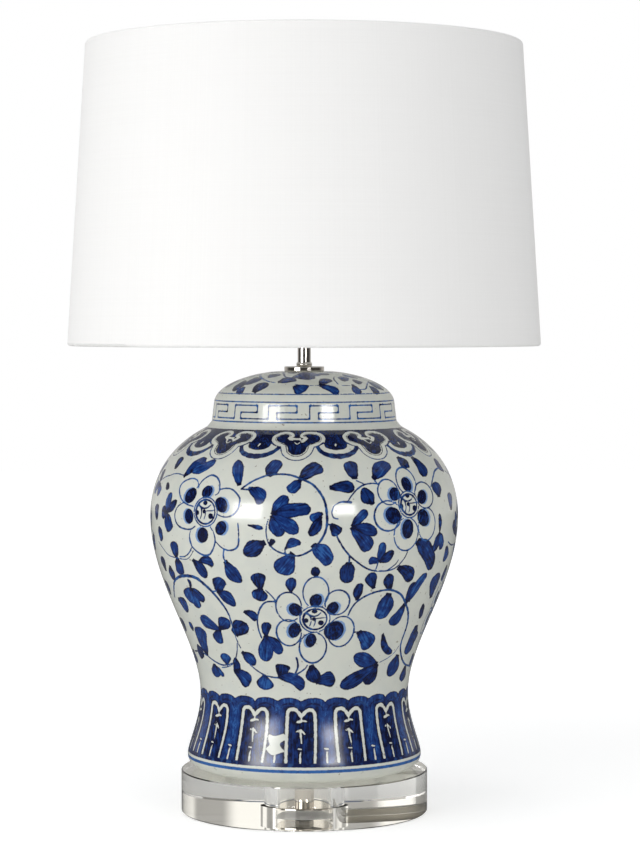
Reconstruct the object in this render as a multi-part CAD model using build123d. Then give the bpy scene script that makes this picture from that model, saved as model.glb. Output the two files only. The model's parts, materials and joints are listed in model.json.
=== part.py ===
from build123d import *
import os

# Ginger jar table lamp: a glazed ceramic jar on a clear acrylic disc, with a harp that
# carries a tapered drum shade. Millimetres, +Z up. The origin is on the lamp's axis, at
# the surface that the disc stands on. The harp lies in the XZ plane, the switch faces -Y,
# and the cord leaves the disc towards +X.

# ---- driving dimensions -------------------------------------------------------------

# acrylic disc
disc_diameter = 239.0
disc_height = 41.0
disc_edge_bevel = 1.0
disc_hole_diameter = 52.0
disc_recess_diameter = 57.0
disc_recess_depth = 10.0
cord_channel_width = 11.0
cord_channel_height = 6.5

# ceramic jar: the radius of each turn of its side, and its rise above the one below
jar_wall = 6.0
jar_floor = 8.0
jar_foot_radius = 78.5
jar_foot_width = 9.0
jar_foot_recess = 6.0
toe_radius, toe_rise = 113.4, 15.5
waist_radius, waist_rise = 100.8, 58.5
belly_radius, belly_rise = 149.1, 172.0
shoulder_radius, shoulder_rise = 98.0, 84.0
neck_foot_radius, neck_foot_rise = 89.3, 9.0
lid_edge_radius, band_rise = 87.4, 16.0
lid_top_radius, lid_rise = 21.0, 30.5

# threaded pipe, its nut and washers
pipe_diameter = 9.6
pipe_bore = 6.4
pipe_grip = 9.0
pipe_below_nut = 0.5
nut_across_flats = 15.9
nut_height = 3.2
washer_thickness = 1.5
rubber_thickness = 1.0
rubber_width = 8.0
sleeve_diameter = 19.0
sleeve_wall = 1.5

# neck
vase_cap_diameter = 38.5
vase_cap_height = 4.6
vase_cap_edge = 0.8
collar_diameter = 15.2
collar_height = 4.0
neck_diameter = 12.7
neck_wall = 1.2
neck_length = 54.4

# harp
wire_diameter = 4.0
harp_height = 241.0
harp_foot_spread = 56.0
harp_belly_spread = 118.0
harp_crown_width = 26.0
saddle_thickness = 1.6
saddle_strap_width = 12.0
saddle_boss_diameter = 24.0
saddle_post_height = 8.0
ferrule_diameter = 7.6
ferrule_height = 14.0
stud_diameter = 6.35
stud_length = 12.5
stud_flange_diameter = 16.0
stud_flange_thickness = 1.5
stud_block_length = 18.0
stud_block_width = 8.0

# lamp socket, heights measured from the bottom of its cap
cap_hub_diameter = 15.0
cap_hub_height = 8.0
cap_diameter = 35.5
cap_ledge_height = 18.5
cap_height = 27.0
cap_ledge_width = 3.0
shell_wall = 0.7
shell_height = 47.0
shell_bead = 0.9
insulator_wall = 0.8
insulator_height = 44.0
socket_flange_height = 2.0
socket_body_height = 25.0
screw_shell_radius = 13.3
screw_shell_wall = 0.5
screw_shell_height = 22.0
screw_shell_seat_height = 5.5
screw_shell_foot_radius = 9.5
screw_shell_opening = 7.0
contact_width = 5.0
contact_thickness = 0.6
contact_rise = 4.5
set_screw_diameter = 3.0
terminal_head_diameter = 6.0
terminal_head_height = 1.8
terminal_shank_diameter = 3.4
terminal_shank_length = 5.0

# turn switch
switch_shaft_diameter = 4.0
switch_height = 13.0
switch_bearing_depth = 8.0
knob_diameter = 9.2
knob_collar_length = 5.0
knob_blade_length = 13.0
knob_blade_width = 12.0
knob_blade_thickness = 4.0
knob_standoff = 2.0

# shade
shade_bottom_diameter = 457.0
shade_top_diameter = 420.4
shade_height = 291.0
shade_recess = 14.0
fabric_thickness = 0.8
liner_thickness = 0.6
hem_tuck = 6.0
ring_wire_diameter = 3.0
spider_wire_diameter = 2.6
spider_arms = 3
spider_bend = 5.0
spider_first_arm = 90.0
hub_diameter = 25.4
hub_thickness = 1.6

# finial
finial_foot_diameter = 10.0
finial_stem_diameter = 7.4
finial_ball_diameter = 19.0
finial_foot_height = 3.0
finial_stem_height = 3.5

# clearances
slip_fit = 0.05
running_fit = 0.08
seat_gap = 0.1
loose_fit = 0.8

# ---- levels that follow from them ---------------------------------------------------

recess_ceiling = disc_recess_depth
washer_bottom = recess_ceiling - washer_thickness
nut_bottom = washer_bottom - nut_height
pipe_bottom = nut_bottom - pipe_below_nut
jar_bottom = disc_height
jar_floor_bottom = jar_bottom + jar_foot_recess
toe_level = jar_bottom + toe_rise
waist_level = toe_level + waist_rise
belly_level = waist_level + belly_rise
shoulder_level = belly_level + shoulder_rise
neck_foot_level = shoulder_level + neck_foot_rise
lid_edge_level = neck_foot_level + band_rise
jar_top = lid_edge_level + lid_rise
vase_cap_top = jar_top + vase_cap_height
saddle_bottom = vase_cap_top + neck_length
saddle_top = saddle_bottom + saddle_thickness
pipe_top = saddle_top + pipe_grip
cap_ledge = saddle_top + cap_ledge_height
socket_body_top = cap_ledge + socket_body_height
screw_shell_top = socket_body_top + screw_shell_height
switch_level = cap_ledge + switch_height
harp_top = saddle_top + harp_height
hub_bottom = harp_top + seat_gap
hub_top = hub_bottom + hub_thickness
shade_top = hub_bottom + shade_recess
shade_bottom = shade_top - shade_height
finial_bottom = hub_top + seat_gap

pipe_radius = pipe_diameter / 2
pipe_hole = pipe_radius + slip_fit
shell_radius = cap_diameter / 2 - shell_wall - slip_fit
shell_bore = shell_radius - shell_wall
insulator_radius = shell_bore - slip_fit
insulator_bore = insulator_radius - insulator_wall
socket_flange_radius = insulator_bore - slip_fit
socket_body_radius = socket_flange_radius - loose_fit
shaft_radius = switch_shaft_diameter / 2
wire_radius = wire_diameter / 2

# ---- helpers ------------------------------------------------------------------------


def turned(*lines):
    """A solid turned about the lamp's axis from a closed outline of (radius, height)."""
    outline = [edge for line in lines for edge in line.edges()]
    return revolve(Plane.XZ * make_face(outline), Axis.Z)


def tube(inner, outer, low, high):
    """A plain ring or sleeve about the lamp's axis."""
    return turned(Polyline((inner, low), (outer, low), (outer, high), (inner, high), close=True))


def rod(radius, low, high, x=0.0, y=0.0):
    """An upright round bar."""
    return Pos(x, y, (low + high) / 2) * Cylinder(radius, high - low)


def outward_rod(radius, start, end, level):
    """A round bar that points to -Y, between two distances from the axis."""
    return Pos(0, -(start + end) / 2, level) * Rot(90, 0, 0) * Cylinder(radius, end - start)


# ---- foot of the lamp ---------------------------------------------------------------


def make_acrylic_base():
    disc = rod(disc_diameter / 2, 0, disc_height)
    disc = chamfer(disc.edges().filter_by(GeomType.CIRCLE), disc_edge_bevel)
    disc -= rod(disc_hole_diameter / 2, 0, disc_height)
    disc -= rod(disc_recess_diameter / 2, 0, disc_recess_depth)
    channel = Box(disc_diameter, cord_channel_width, cord_channel_height, align=(Align.MIN, Align.CENTER, Align.MIN))
    return disc - channel


def make_base_washer():
    return tube(pipe_hole, disc_recess_diameter / 2 - slip_fit, washer_bottom, recess_ceiling)


def make_base_lock_nut():
    hexagon = RegularPolygon(nut_across_flats / 2, 6, major_radius=False)
    nut = Pos(0, 0, nut_bottom) * extrude(hexagon, nut_height)
    return nut - rod(pipe_hole, nut_bottom, washer_bottom)


def make_base_sleeve():
    outer = sleeve_diameter / 2
    return tube(outer - sleeve_wall, outer, recess_ceiling, jar_floor_bottom - rubber_thickness)


def make_jar_floor_washer():
    low = jar_floor_bottom - rubber_thickness
    return tube(pipe_hole, pipe_radius + rubber_width, low, jar_floor_bottom)


def make_lamp_pipe():
    return tube(pipe_bore / 2, pipe_radius, pipe_bottom, pipe_top)


# ---- ceramic jar --------------------------------------------------------------------


def jar_outline(inset, low, high):
    """The jar's side, from foot to lid, set in by a wall and closed along the axis."""
    toe = (toe_radius - inset, toe_level)
    waist = (waist_radius - inset, waist_level)
    belly = (belly_radius - inset, belly_level)
    shoulder = (shoulder_radius - inset, shoulder_level - inset / 2)
    neck = (neck_foot_radius - inset, neck_foot_level - inset / 2)
    lid_edge = (lid_edge_radius - inset, lid_edge_level - inset / 2)
    foot = (jar_foot_radius - inset, low)
    crown = (lid_top_radius, high)
    toe_sweep = toe[0] - foot[0]
    lower = waist[1] - toe[1]
    middle = belly[1] - waist[1]
    upper = shoulder[1] - belly[1]
    return [
        Bezier(foot, (foot[0] + 0.62 * toe_sweep, low), (toe[0], low + 0.17 * (toe[1] - low)), toe),
        Bezier(toe, (toe[0] - 1.5, toe[1] + 0.22 * lower), (waist[0], waist[1] - 0.43 * lower), waist),
        Bezier(waist, (waist[0], waist[1] + 0.29 * middle), (belly[0], belly[1] - 0.38 * middle), belly),
        Bezier(
            belly,
            (belly[0], belly[1] + 0.49 * upper),
            (shoulder[0] + 0.573 * (belly[0] - shoulder[0]), belly[1] + 0.815 * upper),
            shoulder,
        ),
        Bezier(shoulder, (neck[0] + 3.2, shoulder[1] + 2.9), (neck[0] + 0.5, neck[1] - 4.0), neck),
        Line(neck, lid_edge),
        Bezier(
            lid_edge,
            (lid_edge[0] - 1.0, lid_edge[1] + 0.67 * (high - lid_edge[1])),
            (crown[0] + 0.31 * (lid_edge[0] - crown[0]), high + 0.5),
            crown,
        ),
        Polyline(crown, (0, high), (0, low), foot),
    ]


def make_jar():
    jar = turned(*jar_outline(0, jar_bottom, jar_top))
    jar -= turned(*jar_outline(jar_wall, jar_floor_bottom + jar_floor, jar_top - jar_wall))
    jar -= rod(jar_foot_radius - jar_foot_width, jar_bottom, jar_floor_bottom)
    return jar - rod(pipe_radius + loose_fit, jar_bottom, jar_top)


# ---- neck ---------------------------------------------------------------------------


def make_vase_cap():
    cap = rod(vase_cap_diameter / 2, jar_top, vase_cap_top)
    cap = fillet(cap.edges().filter_by(GeomType.CIRCLE), vase_cap_edge)
    cap -= rod(pipe_radius + rubber_width, jar_top, jar_top + rubber_thickness)
    return cap - rod(pipe_hole, jar_top, vase_cap_top)


def make_vase_cap_washer():
    return tube(pipe_hole, pipe_radius + rubber_width - slip_fit, jar_top, jar_top + rubber_thickness)


def make_neck_collar():
    inner = neck_diameter / 2 + slip_fit
    outer = collar_diameter / 2
    high = vase_cap_top + collar_height
    shoulder = outer - (outer - inner) / 2
    bead = ThreePointArc((shoulder, vase_cap_top), (outer, (vase_cap_top + high) / 2), (shoulder, high))
    return turned(bead, Polyline((shoulder, high), (inner, high), (inner, vase_cap_top), (shoulder, vase_cap_top)))


def make_neck_tube():
    outer = neck_diameter / 2
    return tube(outer - neck_wall, outer, vase_cap_top, saddle_bottom)


# ---- harp ---------------------------------------------------------------------------


def make_harp_saddle():
    boss = rod(saddle_boss_diameter / 2, saddle_bottom, saddle_top)
    strap = SlotCenterToCenter(harp_foot_spread, saddle_strap_width)
    saddle = boss + Pos(0, 0, saddle_bottom) * extrude(strap, saddle_thickness)
    saddle -= rod(pipe_hole, saddle_bottom, saddle_top)
    for side in (-1, 1):
        saddle += rod(wire_radius, saddle_top, saddle_top + saddle_post_height, side * harp_foot_spread / 2)
    return saddle


def make_harp_loop():
    foot = harp_foot_spread / 2
    belly = harp_belly_spread / 2
    crown = harp_crown_width / 2
    low = saddle_top + saddle_post_height
    high = harp_top - stud_flange_thickness - stud_block_width / 2
    rise = high - low
    right = [
        (foot, low),
        (foot, low + 0.13 * rise),
        (belly, low + 0.34 * rise),
        (belly, low + 0.62 * rise),
        (crown + 14.0, high - 15.0),
        (crown, high),
    ]
    left = [(-x, z) for x, z in reversed(right)]
    path = Plane.XZ * FilletPolyline(right + left, radius=[30, 45, 70, 45, 12, 12, 45, 70, 45, 30])
    start = Plane(origin=(foot, 0, low), z_dir=(0, 0, 1))
    return sweep(start * Circle(wire_radius), path=path)


def make_harp_stud():
    flange_bottom = harp_top - stud_flange_thickness
    block_bottom = flange_bottom - stud_block_width
    block = Box(stud_block_length, stud_block_width, stud_block_width)
    block = fillet(block.edges().filter_by(Axis.Z), 1.5)
    stud = Pos(0, 0, (flange_bottom + block_bottom) / 2) * block
    stud += rod(stud_flange_diameter / 2, flange_bottom, harp_top)
    stud += rod(stud_diameter / 2, harp_top, harp_top + stud_length)
    wire_hole = Rot(0, 90, 0) * Cylinder(wire_radius + slip_fit, stud_block_length)
    return stud - Pos(0, 0, (flange_bottom + block_bottom) / 2) * wire_hole


def make_harp_ferrule(side):
    low = saddle_top + seat_gap
    ferrule = rod(ferrule_diameter / 2, low, low + ferrule_height)
    ferrule = chamfer(ferrule.edges().filter_by(GeomType.CIRCLE), 0.6)
    ferrule -= rod(wire_radius + running_fit, low, low + ferrule_height)
    return Pos(side * harp_foot_spread / 2, 0, 0) * ferrule


# ---- lamp socket --------------------------------------------------------------------


def make_socket_cap():
    low = saddle_top
    hub = cap_hub_diameter / 2
    outer = cap_diameter / 2
    bore = shell_radius + slip_fit
    ledge_inner = socket_flange_radius - cap_ledge_width
    hub_top = low + cap_hub_height
    high = low + cap_height
    dome = Bezier((hub, hub_top), (outer - 2.5, hub_top + 0.5), (outer, cap_ledge - 6.0), (outer, cap_ledge))
    inside = Polyline(
        (outer, cap_ledge),
        (outer, high),
        (bore, high),
        (bore, cap_ledge),
        (ledge_inner, cap_ledge),
        (pipe_radius + 2.0, hub_top + 2.0),
        (pipe_hole, hub_top + 1.0),
        (pipe_hole, low),
        (hub, low),
        (hub, hub_top),
    )
    cap = turned(dome, inside)
    return cap - set_screw_bar(slip_fit)


def set_screw_bar(clearance):
    """The set screw's bar in the cap's hub, and with a clearance its hole. It faces +Y."""
    length = cap_hub_diameter / 2 - pipe_radius
    bar = Rot(90, 0, 0) * Cylinder(set_screw_diameter / 2 + clearance, length)
    return Pos(0, pipe_hole + length / 2, saddle_top + cap_hub_height / 2) * bar


def make_socket_cap_set_screw():
    end = pipe_hole + cap_hub_diameter / 2 - pipe_radius
    slot = Box(set_screw_diameter, 1.0, 0.6)
    return set_screw_bar(0) - Pos(0, end, saddle_top + cap_hub_height / 2) * slot


def make_socket_shell():
    low, high = cap_ledge, cap_ledge + shell_height
    bead = high - 12.0
    wall = shell_wall
    outer, inner = shell_radius, shell_bore
    outside = ThreePointArc((outer, bead), (outer + shell_bead, bead + 2.0), (outer, bead + 4.0))
    inside = ThreePointArc((inner, bead + 4.0), (inner + shell_bead, bead + 2.0), (inner, bead))
    shell = turned(
        Line((outer, low), (outer, bead)),
        outside,
        Polyline((outer, bead + 4.0), (outer, high), (outer - wall, high), (inner, bead + 4.0)),
        inside,
        Polyline((inner, bead), (inner, low), (outer, low)),
    )
    return shell - outward_rod(shaft_radius + loose_fit, 0, cap_diameter, switch_level)


def make_socket_insulator():
    sleeve = tube(insulator_bore, insulator_radius, cap_ledge, cap_ledge + insulator_height)
    return sleeve - outward_rod(shaft_radius + loose_fit, 0, cap_diameter, switch_level)


def make_socket_body():
    body = rod(socket_body_radius, cap_ledge, socket_body_top)
    body += rod(socket_flange_radius, cap_ledge, cap_ledge + socket_flange_height)
    pocket_depth = terminal_head_height + loose_fit
    pocket = Box(pocket_depth, terminal_head_diameter + 2 * loose_fit, 2 * switch_height)
    for side in (-1, 1):
        middle = side * (socket_body_radius - pocket_depth / 2)
        body -= Pos(middle, 0, cap_ledge + socket_flange_height + switch_height) * pocket
        body -= terminal_shank(side, slip_fit)
    bearing = socket_body_radius - switch_bearing_depth
    return body - outward_rod(shaft_radius + running_fit, bearing - seat_gap, cap_diameter, switch_level)


def terminal_shank(side, clearance):
    seat = socket_body_radius - terminal_head_height - loose_fit
    middle = side * (seat - terminal_shank_length / 2)
    shank = Rot(0, 90, 0) * Cylinder(terminal_shank_diameter / 2 + clearance, terminal_shank_length)
    return Pos(middle, 0, switch_level) * shank


def make_terminal_screw(side):
    seat = socket_body_radius - terminal_head_height - loose_fit
    middle = side * (seat + terminal_head_height / 2)
    head = Rot(0, 90, 0) * Cylinder(terminal_head_diameter / 2, terminal_head_height)
    slot = Box(1.0, terminal_head_diameter, 0.9)
    screw = terminal_shank(side, 0) + Pos(middle, 0, switch_level) * head
    return screw - Pos(side * (seat + terminal_head_height), 0, switch_level) * slot


def make_screw_shell():
    wall = screw_shell_wall
    seat = socket_body_top + screw_shell_seat_height
    outline = Polyline(
        (screw_shell_opening, socket_body_top),
        (screw_shell_foot_radius + wall, socket_body_top),
        (screw_shell_radius + wall, seat),
        (screw_shell_radius + wall, screw_shell_top),
        (screw_shell_radius, screw_shell_top),
        (screw_shell_radius, seat),
        (screw_shell_foot_radius, socket_body_top + wall),
        (screw_shell_opening, socket_body_top + wall),
        close=True,
    )
    return turned(outline)


def make_centre_contact():
    low = socket_body_top
    thick = contact_thickness
    foot, bend, tip = -5.0, -1.5, 4.0
    rise = contact_rise
    outline = Polyline(
        (foot, low),
        (bend, low),
        (tip, low + rise),
        (tip, low + rise + thick),
        (bend - thick / 2, low + thick),
        (foot, low + thick),
        close=True,
    )
    return extrude(Plane.XZ * make_face(outline), contact_width / 2, both=True)


# ---- turn switch --------------------------------------------------------------------


def knob_reach():
    return cap_diameter / 2 + shell_bead + knob_standoff


def make_switch_shaft():
    start = socket_body_radius - switch_bearing_depth
    return outward_rod(shaft_radius, start, knob_reach() + knob_collar_length + knob_blade_length / 2, switch_level)


def make_switch_knob():
    start = knob_reach()
    neck = start + knob_collar_length
    end = neck + knob_blade_length
    blade = Box(knob_blade_width, knob_blade_length, knob_blade_thickness)
    blade = fillet(blade.edges().filter_by(Axis.Z), knob_blade_width / 4)
    knob = outward_rod(knob_diameter / 2, start, neck, switch_level)
    knob += Pos(0, -(neck + end) / 2, switch_level) * blade
    knob += outward_rod(switch_shaft_diameter / 2 + 1.2, neck, end - knob_blade_width / 4, switch_level)
    hole_end = neck + knob_blade_length / 2 + seat_gap
    return knob - outward_rod(shaft_radius + slip_fit, start, hole_end, switch_level)


# ---- shade --------------------------------------------------------------------------
# The shade's wall is drawn upright along its slant, with u up the wall and v inwards
# from its outer face, and then leaned in to the shade's taper.

hem_radius = fabric_thickness + liner_thickness + slip_fit + ring_wire_diameter / 2


def on_wall(u, v):
    """Radius and height of a point u up the slanted wall and v inside its outer face."""
    taper = (shade_bottom_diameter - shade_top_diameter) / 2
    slant = (taper**2 + shade_height**2) ** 0.5
    along = Vector(-taper, shade_height) / slant
    inward = Vector(-shade_height, -taper) / slant
    point = Vector(shade_bottom_diameter / 2, shade_bottom) + along * u + inward * v
    return (point.X, point.Y)


def shade_slant():
    taper = (shade_bottom_diameter - shade_top_diameter) / 2
    return (taper**2 + shade_height**2) ** 0.5


def hem(end, direction, depth):
    """The fabric's roll round a ring wire, at a given depth below its outer face."""
    centre = end + direction * hem_radius
    outer = hem_radius - depth
    return ThreePointArc(
        on_wall(centre, hem_radius - outer),
        on_wall(centre - direction * outer, hem_radius),
        on_wall(centre, hem_radius + outer),
    )


def make_shade_fabric():
    length = shade_slant()
    inner = fabric_thickness
    tuck_out = 2 * hem_radius
    tuck_in = tuck_out - fabric_thickness
    low, high = hem_radius, length - hem_radius
    low_tuck, high_tuck = low + hem_tuck, high - hem_tuck
    return turned(
        Line(on_wall(low, 0), on_wall(high, 0)),
        hem(length, -1, 0),
        Polyline(
            on_wall(high, tuck_out), on_wall(high_tuck, tuck_out), on_wall(high_tuck, tuck_in), on_wall(high, tuck_in)
        ),
        hem(length, -1, inner),
        Line(on_wall(high, inner), on_wall(low, inner)),
        hem(0, 1, inner),
        Polyline(on_wall(low, tuck_in), on_wall(low_tuck, tuck_in), on_wall(low_tuck, tuck_out), on_wall(low, tuck_out)),
        hem(0, 1, 0),
    )


def make_shade_liner():
    low, high = hem_radius, shade_slant() - hem_radius
    outer = fabric_thickness
    inner = fabric_thickness + liner_thickness
    return turned(
        Polyline(on_wall(low, outer), on_wall(high, outer), on_wall(high, inner), on_wall(low, inner), close=True)
    )


def wire_ring(u):
    radius, level = on_wall(u, hem_radius)
    return Pos(0, 0, level) * Torus(radius, ring_wire_diameter / 2)


def make_shade_bottom_ring():
    return wire_ring(hem_radius)


def make_shade_top_ring():
    return wire_ring(shade_slant() - hem_radius)


def make_shade_hub():
    return tube(stud_diameter / 2 + running_fit, hub_diameter / 2, hub_bottom, hub_top)


def make_shade_spider():
    """The three arms, each notched to the hub's rim and to the ring that it is welded to."""
    ring_radius, ring_level = on_wall(shade_slant() - hem_radius, hem_radius)
    hub_middle = (hub_bottom + hub_top) / 2
    start = hub_diameter / 2 - 1.0
    path = FilletPolyline((start, hub_middle), (ring_radius, hub_middle), (ring_radius, ring_level), radius=spider_bend)
    section = Plane(origin=(start, 0, hub_middle), z_dir=(1, 0, 0)) * Circle(spider_wire_diameter / 2)
    arm = sweep(section, path=Plane.XZ * path)
    arm -= rod(hub_diameter / 2, hub_bottom - spider_wire_diameter, hub_top + spider_wire_diameter)
    arm -= make_shade_top_ring()
    return Compound(children=[Rot(0, 0, spider_first_arm + n * 360 / spider_arms) * arm for n in range(spider_arms)])


# ---- finial -------------------------------------------------------------------------


def make_finial():
    foot = finial_foot_diameter / 2
    stem = finial_stem_diameter / 2 + 1.5
    ball = finial_ball_diameter / 2
    stem_low = finial_bottom + finial_foot_height
    ball_low = stem_low + finial_stem_height
    ball_middle = ball_low + (ball**2 - stem**2) ** 0.5
    finial = turned(
        Polyline((stem, ball_low), (stem, stem_low), (foot, stem_low - 0.6), (foot, finial_bottom), (0, finial_bottom)),
        Line((0, finial_bottom), (0, ball_middle + ball)),
        ThreePointArc((stem, ball_low), (ball, ball_middle), (0, ball_middle + ball)),
    )
    thread_end = harp_top + stud_length + 2 * seat_gap
    return finial - rod(stud_diameter / 2 + running_fit, finial_bottom, thread_end)


# ---- write the sub-parts ------------------------------------------------------------

nodes = {
    "acrylic_base": make_acrylic_base(),
    "base_washer": make_base_washer(),
    "base_lock_nut": make_base_lock_nut(),
    "base_sleeve": make_base_sleeve(),
    "jar_floor_washer": make_jar_floor_washer(),
    "lamp_pipe": make_lamp_pipe(),
    "jar": make_jar(),
    "vase_cap": make_vase_cap(),
    "vase_cap_washer": make_vase_cap_washer(),
    "neck_collar": make_neck_collar(),
    "neck_tube": make_neck_tube(),
    "harp_saddle": make_harp_saddle(),
    "harp_loop": make_harp_loop(),
    "harp_stud": make_harp_stud(),
    "harp_ferrule_left": make_harp_ferrule(-1),
    "harp_ferrule_right": make_harp_ferrule(1),
    "socket_cap": make_socket_cap(),
    "socket_cap_set_screw": make_socket_cap_set_screw(),
    "socket_shell": make_socket_shell(),
    "socket_insulator": make_socket_insulator(),
    "socket_body": make_socket_body(),
    "terminal_screws": Compound(children=[make_terminal_screw(-1), make_terminal_screw(1)]),
    "screw_shell": make_screw_shell(),
    "centre_contact": make_centre_contact(),
    "switch_shaft": make_switch_shaft(),
    "switch_knob": make_switch_knob(),
    "shade_fabric": make_shade_fabric(),
    "shade_liner": make_shade_liner(),
    "shade_bottom_ring": make_shade_bottom_ring(),
    "shade_top_ring": make_shade_top_ring(),
    "shade_hub": make_shade_hub(),
    "shade_spider": make_shade_spider(),
    "finial": make_finial(),
}

os.makedirs("parts", exist_ok=True)
for name, shape in nodes.items():
    export_step(shape, f"parts/{name}.step")
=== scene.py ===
import json
import math
import random

import bmesh
import bpy
import numpy as np
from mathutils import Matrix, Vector
from mathutils.geometry import delaunay_2d_cdt


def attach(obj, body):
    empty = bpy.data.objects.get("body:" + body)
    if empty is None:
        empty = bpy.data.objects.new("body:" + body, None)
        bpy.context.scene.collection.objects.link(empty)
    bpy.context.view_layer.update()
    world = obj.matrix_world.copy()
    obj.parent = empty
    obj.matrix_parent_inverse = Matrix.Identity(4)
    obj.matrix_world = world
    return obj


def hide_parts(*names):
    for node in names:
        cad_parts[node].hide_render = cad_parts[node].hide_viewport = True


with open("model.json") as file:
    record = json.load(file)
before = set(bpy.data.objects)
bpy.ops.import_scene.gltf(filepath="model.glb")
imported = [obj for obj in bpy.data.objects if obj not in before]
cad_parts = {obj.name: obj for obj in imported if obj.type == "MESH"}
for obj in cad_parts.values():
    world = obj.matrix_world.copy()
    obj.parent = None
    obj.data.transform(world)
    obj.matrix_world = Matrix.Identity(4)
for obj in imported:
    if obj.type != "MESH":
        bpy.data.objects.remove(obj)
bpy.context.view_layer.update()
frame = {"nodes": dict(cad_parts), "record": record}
nodes = frame["nodes"]

MM = 0.001
scene = bpy.context.scene
scene.view_settings.view_transform = "Standard"

# ---- camera and surroundings --------------------------------------------------------

CAMERA_PLACE = (0.0, -2.609, 0.472)
CAMERA_PITCH_DOWN = 2.335
CAMERA_YAW_RIGHT = 0.3355
CAMERA_LENS = 151.55


def make_camera():
    data = bpy.data.cameras.new("camera")
    data.sensor_fit = "HORIZONTAL"
    data.sensor_width = 36.0
    data.lens = CAMERA_LENS
    data.clip_end = 50.0
    camera = bpy.data.objects.new("camera", data)
    camera.location = CAMERA_PLACE
    camera.rotation_euler = (math.radians(90 - CAMERA_PITCH_DOWN), 0, math.radians(-CAMERA_YAW_RIGHT))
    scene.collection.objects.link(camera)
    scene.camera = camera


def add(tree, kind, inputs=None, **settings):
    """A shader node with its settings, and its inputs as values or as links.

    The functions below find the tree in the first socket that they are given.
    """
    made = tree.nodes.new("ShaderNode" + kind)
    for name, value in settings.items():
        setattr(made, name, value)
    for name, value in (inputs or {}).items():
        if isinstance(value, bpy.types.NodeSocket):
            tree.links.new(value, made.inputs[name])
        else:
            made.inputs[name].default_value = value
    return made


# The room's strength for the fill, in gloss, and through the acrylic. Gloss and acrylic see
# it paler behind the lamp, and the acrylic sees upright bands in it.
WORLD_FILL = 0.58
WORLD_REFLECTED = 0.06
WORLD_REFLECTED_BEHIND = 0.5
WORLD_THROUGH = 0.36
WORLD_THROUGH_BEHIND = 0.85
ROOM_BANDS = 7.0
BAND_DIM = 0.50
BAND_BRIGHT = 1.25


def split(vector):
    """The three parts of a vector."""
    return add(vector.id_data, "SeparateXYZ", {0: vector}).outputs


def combine(x, y, z=0.0):
    return add(x.id_data, "CombineXYZ", {0: x, 1: y, 2: z}).outputs[0]


def background(tree, colour, strength):
    return add(tree, "Background", {"Color": (*colour, 1), "Strength": strength}).outputs[0]


def choose(amount, first, second):
    """The first shader where the amount is 0, and the second where it is 1."""
    return add(amount.id_data, "MixShader", {0: amount, 1: first, 2: second}).outputs[0]


def make_world():
    """White to the eye, a grey fill, and a room that is dim in front for gloss and acrylic."""
    world = bpy.data.worlds.new("studio")
    scene.world = world
    world.use_nodes = True
    tree = world.node_tree
    tree.nodes.clear()
    path = add(tree, "LightPath").outputs
    x, y, z = split(add(tree, "TexCoord").outputs["Generated"])
    low_behind = maths("SUBTRACT", y, z)
    reflected = ramp(low_behind, 0.1, 0.8, WORLD_REFLECTED, WORLD_REFLECTED_BEHIND)
    wave = maths("SINE", maths("MULTIPLY", maths("ARCTAN2", x, y), ROOM_BANDS))
    bands = ramp(wave, -0.5, 0.5, BAND_DIM, BAND_BRIGHT)
    through = ramp(y, -0.4, 0.8, WORLD_THROUGH, WORLD_THROUGH_BEHIND)
    white = background(tree, (1, 1, 1), 1.0)
    fill = background(tree, (0.97, 0.98, 1.0), WORLD_FILL)
    dim = background(tree, (1.0, 0.98, 0.95), reflected)
    room = background(tree, (1.0, 0.98, 0.93), maths("MULTIPLY", through, bands))
    seen = choose(path["Is Glossy Ray"], fill, dim)
    seen = choose(path["Is Transmission Ray"], seen, room)
    seen = choose(path["Is Camera Ray"], seen, white)
    add(tree, "OutputWorld", {"Surface": seen})


SOFTBOX_TARGET = Vector((0, 0, 0.36))


def softbox(name, azimuth, elevation, distance, width, height, power, shown=True, lights=True):
    """An area light that faces the lamp. Azimuth runs from the camera's side towards its right."""
    data = bpy.data.lights.new(name, "AREA")
    data.shape = "RECTANGLE"
    data.size = width
    data.size_y = height
    data.energy = power
    light = bpy.data.objects.new(name, data)
    turn, lift = math.radians(azimuth), math.radians(elevation)
    away = Vector((math.sin(turn) * math.cos(lift), -math.cos(turn) * math.cos(lift), math.sin(lift)))
    light.location = SOFTBOX_TARGET + away * distance
    light.rotation_euler = away.to_track_quat("Z", "Y").to_euler()
    light.visible_glossy = shown
    light.visible_diffuse = lights
    light.visible_camera = False
    scene.collection.objects.link(light)


def make_lights():
    """Two softboxes, whose bright middles only show in gloss, and three lights that don't show in it."""
    softbox("softbox_left", -41, 6.5, 1.5, 0.90, 0.60, 4.6)
    softbox("softbox_left_core", -41, 6.5, 1.499, 0.60, 0.38, 5.4, lights=False)
    softbox("softbox_right", 28.5, 8.5, 1.5, 0.50, 0.34, 2.2)
    softbox("softbox_right_core", 28.5, 8.5, 1.499, 0.38, 0.22, 2.4, lights=False)
    softbox("overhead", -30, 62, 2.2, 1.8, 1.8, 8.8, shown=False)
    softbox("side_left", -85, 12, 2.0, 1.0, 1.0, 3.0, shown=False)
    softbox("side_right", 85, 12, 2.0, 1.0, 1.0, 1.4, shown=False)


FLOOR_SIZE = 12
FLOOR_DROP = 0.0004
# How much the paper glows to the eye near the lamp and far from it, and where that changes.
FLOOR_GLOW = 0.44
FLOOR_GLOW_FAR = 0.62
FLOOR_NEAR = 0.35
FLOOR_FAR = 1.6
# How much it glows through the acrylic, for light that ends on the jar and for the eye.
FLOOR_THROUGH = 1.1
FLOOR_SEEN_THROUGH = 0.11
FLOOR_GLOSS_LOSS = 0.75


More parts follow.
